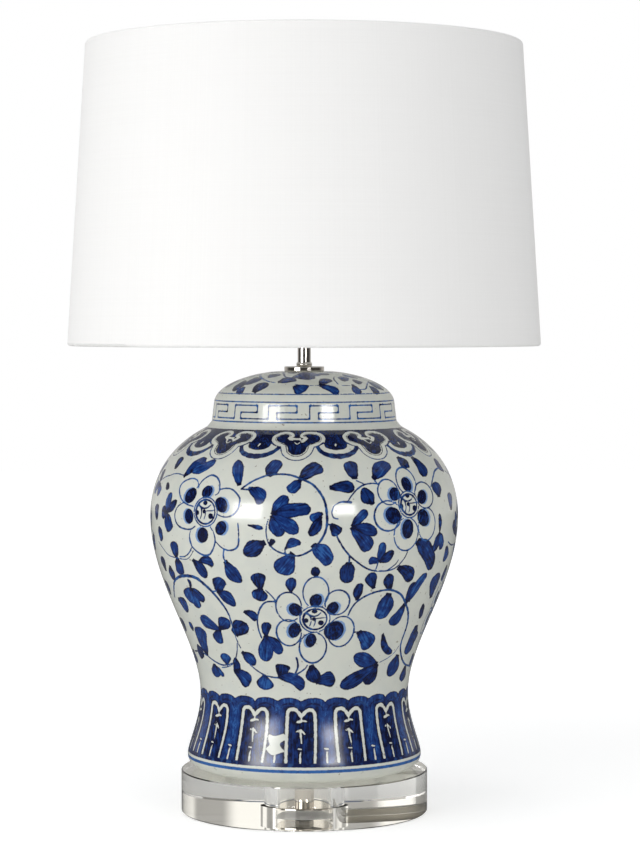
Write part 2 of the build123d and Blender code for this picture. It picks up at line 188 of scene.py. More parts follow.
def make_floor():
    """White paper that glows a little, and that is dimmer in gloss."""
    bpy.ops.mesh.primitive_plane_add(size=FLOOR_SIZE, location=(0, 0, -FLOOR_DROP))
    floor = bpy.context.object
    floor.name = "floor"
    material = principled("floor_paper", base=(0.82, 0.82, 0.81), roughness=0.9, specular=0.0)
    tree = material.node_tree
    path = add(tree, "LightPath").outputs
    x, y, _ = split(place(tree))
    far = maths("MAXIMUM", maths("ABSOLUTE", x), maths("ABSOLUTE", y))
    glow = ramp(far, FLOOR_NEAR, FLOOR_FAR, FLOOR_GLOW, FLOOR_GLOW_FAR)
    to_eye = maths("MULTIPLY", path["Is Camera Ray"], glow)
    bounced = maths("GREATER_THAN", path["Diffuse Depth"], 0.5)
    under = ramp(bounced, 0, 1, FLOOR_SEEN_THROUGH, FLOOR_THROUGH, False)
    through = maths("MULTIPLY", path["Is Transmission Ray"], under)
    light = add(tree, "Emission", {"Strength": maths("ADD", to_eye, through)})
    mirrored = maths("SUBTRACT", path["Is Glossy Ray"], path["Is Transmission Ray"], clamp=True)
    lost = maths("MULTIPLY", mirrored, FLOOR_GLOSS_LOSS)
    paper = add(tree, "MixShader", {0: lost, 1: tree.nodes["Principled BSDF"].outputs[0]})
    lit = add(tree, "AddShader", {0: paper.outputs[0], 1: light.outputs[0]})
    tree.links.new(lit.outputs[0], tree.nodes["Material Output"].inputs["Surface"])
    floor.data.materials.append(material)


# ---- plain materials ----------------------------------------------------------------


def principled(name, base, metallic=0.0, roughness=0.5, specular=0.5, **more):
    material = bpy.data.materials.new(name)
    material.use_nodes = True
    inputs = material.node_tree.nodes["Principled BSDF"].inputs
    inputs["Base Color"].default_value = (*base[:3], 1)
    values = {"Metallic": metallic, "Roughness": roughness, "Specular IOR Level": specular, **more}
    for socket, value in values.items():
        inputs[socket.replace("_", " ")].default_value = value
    return material


def feed(socket, source):
    """Links a value to a socket of its own material's shader."""
    tree = source.id_data
    tree.links.new(source, tree.nodes["Principled BSDF"].inputs[socket])


def noise(scale, detail, vector):
    inputs = {"Scale": scale, "Detail": detail, "Vector": vector}
    return add(vector.id_data, "TexNoise", inputs).outputs[0]


def place(tree):
    """The point's place in the row frame, in metres."""
    return add(tree, "TexCoord").outputs["Object"]


def maths(operation, first, second=0.0, third=0.0, clamp=False):
    inputs = {0: first, 1: second, 2: third}
    return add(first.id_data, "Math", inputs, operation=operation, use_clamp=clamp).outputs[0]


def ramp(value, low, high, low_to=0.0, high_to=1.0, smooth=True):
    """Carries a value from one range to another and holds it at the ends."""
    inputs = {"Value": value, "From Min": low, "From Max": high, "To Min": low_to, "To Max": high_to}
    kind = "SMOOTHSTEP" if smooth else "LINEAR"
    return add(value.id_data, "MapRange", inputs, interpolation_type=kind, clamp=True).outputs[0]


def blend(amount, first, second):
    """A colour between two colours."""
    inputs = {0: amount, 6: first, 7: second}
    return add(amount.id_data, "Mix", inputs, data_type="RGBA").outputs[2]


def rgb(*screen):
    """A colour from its 0 to 255 values as seen on a screen."""
    parts = [value / 255 for value in screen]
    return (*[((part + 0.055) / 1.055) ** 2.4 if part > 0.04 else part / 12.92 for part in parts], 1)


# The plain materials: colour, how metallic, and roughness.
PLAIN = {
    "polished_nickel": ((0.74, 0.70, 0.65), 1.0, 0.07),
    "zinc_steel": ((0.52, 0.51, 0.48), 1.0, 0.32),
    "brass": ((0.80, 0.58, 0.26), 1.0, 0.22),
    "black_rubber": ((0.02, 0.02, 0.02), 0.0, 0.7),
    "insulating_paper": ((0.36, 0.25, 0.15), 0.0, 0.85),
    "black_phenolic": ((0.012, 0.011, 0.011), 0.0, 0.25),
    "shade_styrene": ((0.88, 0.88, 0.86), 0.0, 0.5),
}

# The cord channel runs from its start towards +X, between two levels, in metres.
CHANNEL_START = 0.0287
CHANNEL_HALF_WIDTH = 0.0060
CHANNEL_LOW = 0.0003
CHANNEL_HIGH = 0.0068
CHANNEL_ROUGHNESS = 0.6
ACRYLIC = (0.985, 0.975, 0.94, 1)
FROSTED = rgb(176, 170, 158)


def acrylic():
    """Polished all over, but for the saw-cut cord channel on the right, which is frosted."""
    material = principled("clear_acrylic", ACRYLIC, roughness=0.0, Transmission_Weight=1.0, IOR=1.49)
    x, y, z = split(place(material.node_tree))
    channel = maths("LESS_THAN", maths("ABSOLUTE", y), CHANNEL_HALF_WIDTH)
    for value, test, limit in (
        (z, "LESS_THAN", CHANNEL_HIGH),
        (z, "GREATER_THAN", CHANNEL_LOW),
        (x, "GREATER_THAN", CHANNEL_START),
    ):
        channel = maths("MULTIPLY", channel, maths(test, value, limit))
    feed("Roughness", ramp(channel, 0, 1, 0.0, CHANNEL_ROUGHNESS, False))
    feed("Base Color", blend(channel, ACRYLIC, FROSTED))
    return material


THREADS_AROUND = 260.0
THREADS_UP = 1200.0


def linen():
    """Fine plain-woven white linen, with a few thicker threads."""
    material = principled("shade_linen", base=rgb(250, 249, 246), roughness=0.85, specular=0.2)
    tree = material.node_tree
    x, y, z = split(place(tree))
    around = maths("ARCTAN2", y, x)
    warp = noise(1.0, 2.0, combine(maths("MULTIPLY", around, THREADS_AROUND), z))
    weft = noise(1.0, 2.0, combine(around, maths("MULTIPLY", z, THREADS_UP)))
    weave = maths("ADD", warp, weft)
    shade = blend(ramp(weave, 0.75, 1.25, 0, 1, False), rgb(249, 248, 246), rgb(252, 251, 249))
    feed("Base Color", shade)
    relief = {"Height": weave, "Strength": 0.08, "Distance": 0.0003}
    feed("Normal", add(tree, "Bump", relief).outputs[0])
    return material


# ---- the painted jar ----------------------------------------------------------------
# The jar's side is unrolled: t is the turn from the front in degrees, towards the right,
# and s is the length up the profile from the foot's edge, in millimetres. Half the turn is
# given stroke by stroke, and the other half repeats it.

JAR_WALL = 6.0
JAR_FLOOR = 8.0
JAR_FOOT_WIDTH = 9.0
JAR_FOOT_RECESS = 6.0
JAR_HOLE_RADIUS = 5.6
FOOT = (78.5, 41.0)
TOE = (113.4, 56.5)
WAIST = (100.8, 115.0)
BELLY = (149.1, 287.0)
SHOULDER = (98.0, 371.0)
NECK = (89.3, 380.0)
LID_EDGE = (87.4, 396.0)
CROWN = (21.0, 426.5)


def bezier(a, b, c, d, count=50):
    t = np.linspace(0, 1, count)[:, None]
    a, b, c, d = (np.array(p, float) for p in (a, b, c, d))
    return (1 - t) ** 3 * a + 3 * (1 - t) ** 2 * t * b + 3 * (1 - t) * t * t * c + t**3 * d


def jar_profile(inset, low, high):
    """The jar's side from foot to crown as (radius, height), set in by a wall."""
    foot = (FOOT[0] - inset, low)
    toe, waist, belly = ((p[0] - inset, p[1]) for p in (TOE, WAIST, BELLY))
    shoulder, neck, lid = ((p[0] - inset, p[1] - inset / 2) for p in (SHOULDER, NECK, LID_EDGE))
    crown = (CROWN[0], high)
    sweep = toe[0] - foot[0]
    lower, middle, upper = waist[1] - toe[1], belly[1] - waist[1], shoulder[1] - belly[1]
    over_belly = (shoulder[0] + 0.573 * (belly[0] - shoulder[0]), belly[1] + 0.815 * upper)
    over_lid = (crown[0] + 0.31 * (lid[0] - crown[0]), high + 0.5)
    runs = [
        bezier(foot, (foot[0] + 0.62 * sweep, low), (toe[0], low + 0.17 * (toe[1] - low)), toe),
        bezier(toe, (toe[0] - 1.5, toe[1] + 0.22 * lower), (waist[0], waist[1] - 0.43 * lower), waist),
        bezier(waist, (waist[0], waist[1] + 0.29 * middle), (belly[0], belly[1] - 0.38 * middle), belly),
        bezier(belly, (belly[0], belly[1] + 0.49 * upper), over_belly, shoulder),
        bezier(shoulder, (neck[0] + 3.2, shoulder[1] + 2.9), (neck[0] + 0.5, neck[1] - 4.0), neck),
        np.linspace(neck, lid, 8),
        bezier(lid, (lid[0] - 1.0, lid[1] + 0.67 * (high - lid[1])), over_lid, crown),
    ]
    return np.concatenate([runs[0]] + [run[1:] for run in runs[1:]])


side = jar_profile(0, FOOT[1], CROWN[1])
S_LOW = 1.1
side_s = S_LOW + np.concatenate([[0], np.cumsum(np.hypot(*np.diff(side, axis=0).T))])
S_TOP = side_s[-1]
HALF = 90.0


def radius_at(s):
    return np.interp(s, side_s, side[:, 0])


def degree_mm(s):
    """How many millimetres one degree of turn measures at s."""
    return radius_at(s) * math.pi / 180


# Leaves: (t, s) of the pointed end, (t, s) of the round end, width in mm, and the bend
# of the middle in mm. A bunch has one pointed end and several round ends.
LEAVES = [
    (-54, 327, -45, 348, 12, 2), (-51, 333, -39, 346, 11, -2), (-24.8, 321, -28.5, 348, 11, 0),
    (-14, 331, -10, 348, 14, 1), (-1.5, 328, 7, 342, 14, 2), (-1.5, 327, -6, 316, 11, 1),
    (-20.5, 318.5, -15, 305, 13, 3), (-14, 269, -22.5, 257, 14, 0), (-12.5, 265, -10.8, 272, 5, 0),
    (-6.8, 263, -1, 269, 8, 3), (-4, 259, -10, 240, 17, 2), (-20.5, 284.5, -14.5, 281.5, 4, 0),
    (-56, 249, -56.5, 265, 14, 0), (-55.5, 249, -56, 232, 15, 1), (-46, 249, -40, 232, 11, 1),
    (-43, 247, -35.5, 246, 9, 3), (-30.3, 250, -24.5, 229, 13, -2), (-63.5, 334, -63.5, 348, 11, 0),
    (-64.5, 313, -63, 319, 9, 0), (19.5, 327.5, 19, 347, 13, 1), (27, 327, 37, 343, 14, 3),
    (9.3, 319.5, 19, 319.5, 11, 1), (25.5, 303, 22, 319, 13, 1), (9.3, 286, 12.5, 276, 10, 0),
    (6.5, 296, 2, 290, 8, 0), (6, 293, 1.8, 275, 9, 1), (3, 267, 9.5, 248, 15, 2),
    (16.5, 250, 16.3, 229, 15, -1), (4.5, 236, 3.8, 246, 8, 0), (43, 350, 45.5, 337, 12, 1),
    (47, 346, 45, 338, 8, 0), (52, 349, 55, 327, 15, 2), (60, 306, 60, 321, 16, 0),
    (45.3, 267, 58, 238, 18, 3), (37.3, 242.5, 46.5, 229, 13, 2), (-63, 240, -63.5, 225, 12, 0),
    (-66, 205, -59, 195, 14, 2), (-37, 219.5, -32, 231, 13, 2), (-36.5, 219, -29, 204.5, 12, 2),
    (-17, 223, -17.3, 239.5, 13, 1), (-17, 224, -18.3, 211, 15, 0), (-5.2, 220.5, -4.3, 235.5, 9, 1),
    (-25.8, 199.5, -20.3, 191, 9, 2), (-57.5, 148.5, -54.5, 178, 19, 3), (-63, 172, -63, 182, 8, 0),
    (-60.5, 147, -66, 155, 16, 2), (-32.5, 173, -25.5, 187, 15, 2), (-32.5, 173, -31, 183, 10, 0),
    (-31.3, 156, -25, 143, 11, 1), (-42.5, 141, -42.5, 153, 12, 0), (-53, 140, -53.5, 126, 13, 1),
    (-52, 138, -46.8, 128, 6, 0), (-36, 149, -37.5, 131, 9, 1), (-38, 136, -30, 122, 14, 2),
    (-20.5, 133, -22, 118.5, 15, 1), (-11.5, 131, -10, 145, 13, 1), (-13.5, 132.5, 0, 121, 12, 4),
    (21.3, 211, 22, 229, 9, 1), (28, 222.5, 25.5, 239, 11, 1), (35.8, 220, 33.5, 237, 11, 1),
    (35.5, 217, 33.5, 190, 18, 2), (46, 204, 41, 182.5, 13, 2), (46.5, 204.5, 49.5, 226, 12, 1),
    (48, 206, 55, 234, 11, 3), (24.5, 178, 32.5, 160, 15, 2), (38, 174, 48, 151, 8, -4),
    (53.5, 149, 50.5, 127, 17, 2), (3.5, 144.5, 7, 126, 12, -2), (6, 127, 16.3, 128.5, 14, 2),
    (66, 206, 64, 232, 18, 1), (60, 201, 63, 185, 9, 0), (62, 178, 63, 147, 17, 1),
    (62, 172, 68, 160, 10, 1), (66, 135, 66, 119, 14, 0), (70, 292, 71, 309, 13, 1),
    (67, 258, 69, 243, 13, 1), (-70, 283, -71, 298, 12, 0), (-68, 277, -66, 263, 11, 1),
    (-69, 233, -70, 248, 12, 0), (74, 330, 70, 344, 13, 1), (80, 282, 84, 298, 13, 1),
    (79, 258, 84, 243, 14, 1), (86, 318, 83, 334, 13, 1), (-83, 325, -79, 341, 13, 1),
    (-76, 268, -81, 254, 13, 1), (-83, 274, -80, 290, 12, 0), (-78, 222, -74, 208, 13, 1),
    (-77, 168, -72, 182, 13, 2), (-75, 150, -79, 136, 13, 1), (74, 238, 72, 222, 12, 1),
    (73, 146, 76, 132, 12, 1), (-36, 430, -31, 447, 13, 1), (-7.5, 441, 0, 431, 14, 2),
    (-22, 448, -7, 455, 13, 3), (12, 441, 24, 456, 9, 2), (12, 441, 23.5, 429, 10, 2),
    (40, 443, 37, 428, 8, 1), (-62, 450, -55, 431, 12, 2), (-56, 459, -46, 443, 13, 2),
    (-45, 472, -32, 461, 12, 2), (35, 450, 47, 461, 9, 2), (46, 444, 54, 451, 9, 1),
    (72, 432, 66, 448, 12, 2), (84, 450, 76, 436, 12, 1), (80, 458, 68, 470, 11, 2),
    (-80, 436, -74, 450, 12, 1), (-84, 470, -70, 462, 10, 1), (-46, 428, -51, 437, 9, 1),
    (54, 428, 60, 438, 10, -1), (18, 470, 34, 476, 9, 1), (-28, 484, -10, 478, 9, 1),
    (30, 487, 52, 480, 8, 1), (60, 456, 52, 470, 9, 1), (-70, 480, -50, 484, 8, 1),
]
BUNCHES = [
    (-11.5, 294, [(-6, 312, 11), (2.5, 300, 13), (-8, 274.5, 12), (-2, 278, 12)]),
    (-61, 291, [(-59, 311, 10), (-54, 304, 8), (-65, 292, 12), (-57.5, 274.5, 15)]),
    (17, 283, [(23, 298, 9), (24.5, 261, 14), (27, 276, 10)]),
    (28.5, 249, [(29.5, 268, 9), (34.5, 259, 9), (24, 250, 7)]),
    (59, 272, [(58.8, 291, 6), (56, 255, 11), (62.5, 256, 11)]),
    (-51.5, 219, [(-51.5, 229, 5), (-44.5, 208, 11), (-50, 198.5, 11), (-56, 205, 15)]),
    (-41, 178, [(-34, 189.5, 12), (-45, 163, 12), (-52, 188, 13)]),
    (-17.5, 174, [(-15.5, 189, 9), (-11, 155.5, 12), (-19.5, 147, 13)]),
    (39.5, 142, [(34, 122, 17), (24.5, 153, 13), (19, 121, 13)]),
    (0, 486, [(3, 454, 12), (-9, 458, 9), (15, 465, 10)]),
    (78, 268, [(72, 280, 11), (76, 290, 10), (84, 268, 11)]),
    (-74, 318, [(-80, 310, 11), (-70, 308, 11), (-76, 332, 10)]),
    (80, 484, [(66, 478, 9), (88, 474, 10)]),
]

# Vines: a line of (t, s) points, and its width in mm at the start, the middle and the end.
VINES = [
    ([(-24, 317.5), (-20, 325), (-15, 331), (-10, 333), (-5, 332), (-1, 328), (3, 323), (6, 314),
     (7.5, 305), (8, 295), (8, 285), (7, 276), (5, 268), (2, 261), (-2, 256.5), (-6, 257.5), (-10, 261),
     (-12.5, 267), (-13.5, 275), (-13.5, 283), (-12.8, 290)], 1.8, 2.5, 1.2),
    ([(-24, 317.5), (-21, 317.5), (-20.5, 319.5)], 1.2, 1.6, 2.2),
    ([(16, 307), (17.5, 312), (20, 318), (23, 322), (27, 323), (29, 321.5)], 1.2, 1.8, 1.4),
    ([(11.5, 304), (13.5, 306), (17, 305.5)], 1.2, 1.8, 2.6),
    ([(10.5, 302), (9.8, 296), (10.5, 291.5), (12, 290.5)], 1.2, 1.6, 1.4),
    ([(11, 277), (12.5, 270), (14.5, 262), (17, 255), (20, 249), (23, 244), (26, 241), (29, 240),
     (33, 240), (36, 242), (38, 246), (40, 252), (41, 258)], 2.0, 1.7, 1.2),
    ([(33, 241), (36, 246), (37, 250)], 1.4, 1.2, 1.0),
    ([(56, 317), (58, 322), (61, 328), (64, 332), (69, 334), (75, 331)], 1.6, 2.0, 1.4),
    ([(-46, 270), (-45.5, 262), (-47, 256), (-50, 251.5), (-53.5, 250.5)], 1.6, 1.4, 1.2),
    ([(-70, 262), (-66, 256), (-62, 250.5), (-57, 249), (-50, 248.5), (-47, 252), (-45, 257)],
     1.0, 1.2, 0.8),
    ([(-74, 320), (-69, 325), (-65, 327), (-62, 329), (-58, 329.5), (-54.5, 328.5)], 1.4, 1.2, 1.2),
    ([(-70, 206), (-66, 217), (-63, 224), (-59, 228.5), (-55, 231), (-50, 232), (-46, 230.5), (-43, 226),
     (-40, 220), (-37.5, 213), (-35.5, 206), (-34, 199), (-33.3, 192), (-33, 180), (-32.7, 170)],
     2.0, 3.6, 1.2),
    ([(-32.8, 165), (-34, 156), (-36, 148), (-38, 143.5), (-42, 141), (-46, 140), (-50, 141.5),
     (-54, 144.5), (-58, 148), (-64, 150), (-72, 149)], 1.2, 1.8, 1.6),
    ([(-36, 148), (-38.5, 142), (-43, 138.5), (-47, 137)], 1.0, 1.2, 1.0),
    ([(-11.5, 211), (-15.5, 210), (-18, 204), (-19.5, 197), (-20.3, 190), (-20.3, 180), (-19.5, 172)],
     1.8, 1.8, 1.6),
    ([(-15, 222), (-13, 217), (-11.5, 212)], 1.4, 1.4, 1.2), ([(-39.5, 218), (-37, 219)], 1.6, 1.6, 1.6),
    ([(-32.5, 168), (-31.5, 160)], 1.4, 1.4, 1.2),
    ([(-28, 143), (-25, 138), (-21, 133.5), (-17, 131.5), (-13.5, 131)], 1.4, 1.6, 1.8),
    ([(-3.8, 152), (-3.3, 148), (-3.2, 142), (-4.5, 136), (-5.5, 133), (-2, 137), (0.5, 141), (1.5, 144)],
     2, 1.8, 1.4),
    ([(18.5, 196), (19.5, 203), (21.5, 210), (25, 215.5), (29, 219), (34, 220.5), (38, 219), (42, 214.5),
     (45, 208), (46.5, 204), (49, 198), (51, 191), (52.5, 183), (53, 175), (53, 163), (54, 156), (56, 150),
     (60, 142), (66, 136), (74, 133)], 1.8, 2.6, 2.0),
    ([(41, 143.5), (46, 147), (50, 152), (52, 158)], 0.9, 0.9, 0.8),
    ([(22.3, 177.5), (24.5, 178)], 1.4, 1.4, 1.4), ([(20, 326), (22.5, 323)], 1.4, 1.4, 1.4),
    ([(27.5, 326), (28.3, 323)], 1.4, 1.4, 1.4), ([(8, 285.5), (9.5, 285.5)], 1.4, 1.4, 1.4),
    ([(-30.3, 260), (-30.8, 255), (-30.3, 249)], 1.6, 2.0, 2.4),
    ([(28, 249), (27.8, 245), (27.3, 241)], 1.6, 1.4, 1.2), ([(16.5, 256), (16.5, 250)], 1.8, 1.8, 1.8),
    ([(-6.8, 257.5), (-6.9, 263)], 1.4, 1.4, 1.4), ([(68, 262), (73, 258), (79, 258)], 1.4, 1.6, 1.2),
    ([(76, 330), (82, 325), (86, 318)], 1.4, 1.6, 1.4),
    ([(-83, 325), (-79, 320), (-74, 318)], 1.4, 1.6, 1.4),
    ([(-76, 268), (-79, 271), (-83, 274)], 1.2, 1.4, 1.2),
    ([(-62, 468), (-52, 462), (-42, 456), (-32, 450), (-24, 447)], 2.2, 2.5, 1.8),
    ([(-45, 488), (-36, 482), (-27, 473), (-20, 463), (-13, 460)], 1.6, 2.0, 1.6),
    ([(-7, 444), (0, 441.5), (12, 441.5)], 1.4, 1.6, 1.2),
    ([(27, 444), (28, 455), (33, 463)], 1.4, 1.4, 1.2), ([(30, 441), (38, 441)], 1.2, 1.2, 1.2),
    ([(40, 434), (48, 434.5), (54, 440), (64, 446), (76, 444)], 1.4, 1.6, 1.2),
    ([(-84, 448), (-76, 452), (-66, 452)], 1.2, 1.6, 1.2),
]

# Flowers: centre, radius in mm of the two rings round the eye, the petals as ellipses
# (t, s, half width in degrees, half height in mm), and the dark blot of each petal as
# (t from, t to, s from, s to).
FLOWERS = [
    (41, 301, 12.7, 10, [
        (42.2, 324, 4.8, 14), (50.3, 309.5, 5.3, 12.5), (50.5, 281.7, 5, 15.3), (39.7, 274, 5.7, 15.5),
        (31.5, 292, 5.8, 14), (32.5, 314.3, 4.5, 12.2)],
     [(39.3, 44.3, 313.5, 328), (46, 51.3, 301, 314.5), (45, 51.5, 280, 296.5), (37.5, 43, 269.5, 288),
      (30.3, 37, 284, 300), (32.7, 37.7, 305.5, 318.5)]),
    (4.2, 192, 14, 11, [
        (4.5, 220, 5, 16), (13.3, 209.7, 5, 12.8), (16.3, 179, 6, 16), (4, 162.5, 6.3, 16),
        (-6.8, 178.3, 5.5, 13.8), (-6.3, 205.3, 5.2, 15.2)],
     [(2, 7, 205, 219), (9, 14, 197, 210.5), (8.5, 17.5, 170, 190.5), (0.5, 5.5, 163, 177.5),
      (-7, -1.5, 173, 189), (-6.3, -1, 196, 209.5)]),
    (-38.5, 294.5, 14, 11.5, [],
     [(-41, -36, 308, 320), (-34, -28.7, 295, 309.5), (-33.5, -28.8, 274, 287.5), (-42, -36.7, 266, 280.5),
      (-48.5, -43.8, 283, 297), (-49.5, -43.5, 302, 317)]),
]
# The flower on the jar's side is the second one, narrower and with a smaller eye.
FAR_FLOWER = (80.5, 194)
FAR_NARROW = 0.62
FAR_OUTER = 0.7
FAR_INNER = 0.66
OPEN_PETALS = [
    [(-44, 317), (-43, 321), (-41.5, 326), (-38.5, 330.3), (-35.5, 328.5), (-33.5, 323), (-33, 316.5),
     (-33.2, 313), (-34.5, 311)],
    [(-33, 316.5), (-30, 318), (-27.5, 317), (-25.5, 313.5), (-24, 309), (-23.9, 304), (-24.5, 298),
     (-26.5, 293), (-29, 291), (-31.5, 292), (-32.8, 293.5)],
    [(-24.2, 286), (-24, 279), (-24, 270), (-24.6, 264), (-26.5, 260.8), (-29, 260.3), (-31.5, 263),
     (-33.6, 268)],
    [(-35.5, 280.5), (-34.3, 276), (-33.8, 270), (-34.5, 263), (-36.5, 256), (-39, 254), (-41.5, 255.5),
     (-44.5, 260), (-46.2, 267), (-45.8, 274), (-45, 278)],
    [(-43, 281), (-45, 278.2), (-48.5, 277.8), (-52, 280), (-54, 284.5), (-54.6, 291), (-53.5, 297),
     (-51.5, 300.5), (-50, 302)],
    [(-44.5, 299.5), (-47, 300.5), (-50, 303), (-52.5, 308), (-54, 315), (-53.5, 320), (-51.5, 323.5),
     (-48, 326), (-45, 324.5), (-43.5, 320), (-43, 317)],
]
# Eye marks: (t, s) from the flower's centre.
EYE_DOTS = [(-3.5, -0.8, 2.4, 5.2), (2.9, -3.2, 2.7, 5.8), (-0.1, 0.9, 2.0, 4.2), (0, 8.8, 2.6, 4.6)]
EYE_LINES = [
    ([(-3.3, 7.4), (-1.6, 4.4), (0, 3.7), (1.6, 5.0), (2.5, 7.0)], 2.4, 1.7, 1.2),
    ([(0.9, 1.4), (4.6, 2.2)], 1.1, 1.2, 0.9), ([(-1.6, 3.2), (-1.3, -1.9), (-1.9, -6.3)], 1.5, 1.3, 0.9),
    ([(0.4, 0.5), (0.4, -3), (-0.1, -6.3)], 1.5, 1.3, 0.9),
]

# Ruyi heads hang from the shoulder, with a swag between each two. Points are (t, s) from
# the head's middle, and from the swag's middle. The first is two steps left of the front one.
RUYI_STEP = 36.0
RUYI_FIRST = -3.3 - 72
RUYI_HEAD = [
    (-3.4, 378.2), (-1.7, 380.5), (-2.0, 384.5), (-4.2, 387.8), (-7, 388.4), (-9.9, 386), (-12.4, 381),
    (-12.6, 375), (-11, 369.5), (-7.6, 365.3), (-7, 361), (-6, 354.8), (-3.2, 349.4), (-0.2, 348),
    (2.9, 349.4), (5.8, 354.8), (7.2, 361), (7.8, 365), (11.4, 368.4), (13.3, 374), (13.6, 380),
    (11.9, 385.6), (7.6, 388.4), (3.4, 387.6), (1.4, 384.0), (1.3, 379.6), (3.4, 377.2),
]
RUYI_WHITE = 4.5
RUYI_LINE = 5.3
RUYI_INNER = 6.2
RUYI_UPPER = [364.0, 373.0]
RUYI_UPPER_THINNER = 1.5
RUYI_SCROLLS = [
    ([(-2.9, 377.5), (-2.4, 374.5), (-1.0, 375.2)], 1.0, 1.2, 0.9),
    ([(3.6, 375.5), (2.9, 372), (1.6, 373.4)], 1, 1.2, 0.9), ([(-0.6, 376), (0.6, 375.8)], 2.4, 2.6, 2.0),
    ([(-1.2, 371), (0, 368.6), (1.2, 371)], 0.8, 1.0, 0.8),
]
SWAG = [(-8.6, 364.5), (-7.2, 358.3), (-4, 354), (0.3, 352.5), (4.8, 354.5), (8.3, 359.5), (9.7, 363.8)]
BOWL = [
    (-9.5, 389), (-7.2, 381), (-5.6, 374), (-5.4, 368), (-5, 364), (-2.6, 361.2), (0, 360.3), (2.8, 361.2),
    (4.9, 364), (5.6, 368), (5.8, 374), (7.4, 381), (9.5, 389),
]
RUYI_TOP = 391.3
RUYI_GROUND_LOW = 369.0
RUYI_GROUND_TONE = 0.9
RUYI_TONE = 0.88
RUYI_UNDER = [(12.4, 370.5), (10.2, 366.8), (7.8, 364.5)]
NOTCH_HALF_WIDTH = 2.6
NOTCH_LOW = 376

# Key pattern: 14 round the neck. The first is three steps to the left of the front one.
KEY_STEP = 180.0 / 7
KEY_START = 3.4 - 77.2
KEY = [(0, 403.7), (0, 416.3), (18, 416.3), (18, 409.7), (5.4, 409.7), (5.4, 403.7), (KEY_STEP, 403.7)]

# Lotus panels: 14 round the waist, each a double arch, under two scallops. Points are (t, s)
# from the panel's middle.
PANEL_STEP = 180.0 / 7
PANEL_MIDDLE = -1.6
SCALLOP_TOP = 111.6
SCALLOP_CUSP = 107.0
SCALLOP_ARC = [
    (-5.2, 105.5), (-4.4, 109.2), (-2.2, 111.4), (0, 111.9), (2.2, 111.4), (4.4, 109.2), (5.2, 105.5),
]
SCALLOP_ARC_DROP = 6.0
SCALLOP_TONE = 0.42
LOTUS_LOW = 46.6
PANEL_ARCH = [
    (-7.3, 51), (-7.4, 64), (-7.5, 80), (-7.4, 93), (-7.1, 98.4), (-5.6, 100.8), (-3.8, 100.9),
    (-1.8, 98.6), (-0.3, 94.8), (0.5, 94.8), (1.9, 97.8), (4.0, 100.2), (5.6, 100), (7.0, 97.4), (7.3, 93),
    (7.4, 80), (7.1, 64), (6.7, 50),
]
PANEL_MARKS = [
    ([(0.0, 96), (0.1, 90)], 1.6, 1.2, 1.0), ([(-2.2, 88.8), (0.2, 89.3)], 2.0, 2.4, 1.6),
    ([(0.8, 90.2), (2.4, 89.6)], 1.8, 2.0, 1.2), ([(-1.9, 80.4), (-0.2, 81.2), (1.8, 77.6)], 1.4, 2.2, 1.2),
    ([(-0.3, 80), (-0.1, 74), (0.2, 69)], 1.8, 1.7, 1.0), ([(-1.5, 63.8), (0.2, 63.4)], 1.3, 1.6, 1.0),
    ([(-0.4, 58.2), (-0.4, 50.2)], 1.7, 1.7, 1.5),
]
COLUMN_MARKS = [([(-1.2, 63.8), (0.7, 63.2)], 1.2, 1.6, 1.2), ([(-0.1, 58), (-0.2, 50)], 1.6, 1.8, 1.6)]
BLANK = [
    (-18.3, 76.5), (-15, 75.5), (-10.5, 77.5), (-9.5, 73), (-12.2, 69), (-11.8, 65), (-9.8, 61.5),
    (-12, 59.5), (-15, 57.5), (-17, 58.5), (-19.3, 63), (-17.6, 67), (-18.6, 72),
]

# Turns from a panel's middle, and how dark the paint is at each.
COLUMN_EDGES = [5.8, 6.6, 7.6, 8.6, 9.8, 12.9]
COLUMN_TONES = [0.74, 0.55, 0.90, 0.85, 0.42, 0.26]

# Rings round the jar: level and width in mm, and tone.
RINGS = [(428.0, 1.3, 0.45), (419.5, 1.2, 0.35), (400.4, 1.3, 0.3), (48.2, 3.8, 0.95), (42.3, 3.0, 0.0)]


def smooth_line(points, closed=False, step=1.8):
    """A smooth line through (t, s) points, with a point about every step of millimetres."""
    p = np.array(points, float)
    k = degree_mm(p[:, 1].mean())
    ends = (p[-1:], p[:2]) if closed else (2 * p[:1] - p[1:2], 2 * p[-1:] - p[-2:-1])
    p = np.concatenate([ends[0], p, ends[1]])
    out = []
    for a, b, c, d in zip(p[:-3], p[1:-2], p[2:-1], p[3:]):
        length = math.hypot((c[0] - b[0]) * k, c[1] - b[1])
        t = np.linspace(0, 1, max(2, round(length / step) + 1))[:-1, None]
        square, cube = 2 * a - 5 * b + 4 * c - d, 3 * b - a - 3 * c + d
        out.append(0.5 * (2 * b + (c - a) * t + square * t**2 + cube * t**3))
    if not closed:
        out.append(p[-2:-1])
    return np.concatenate(out)


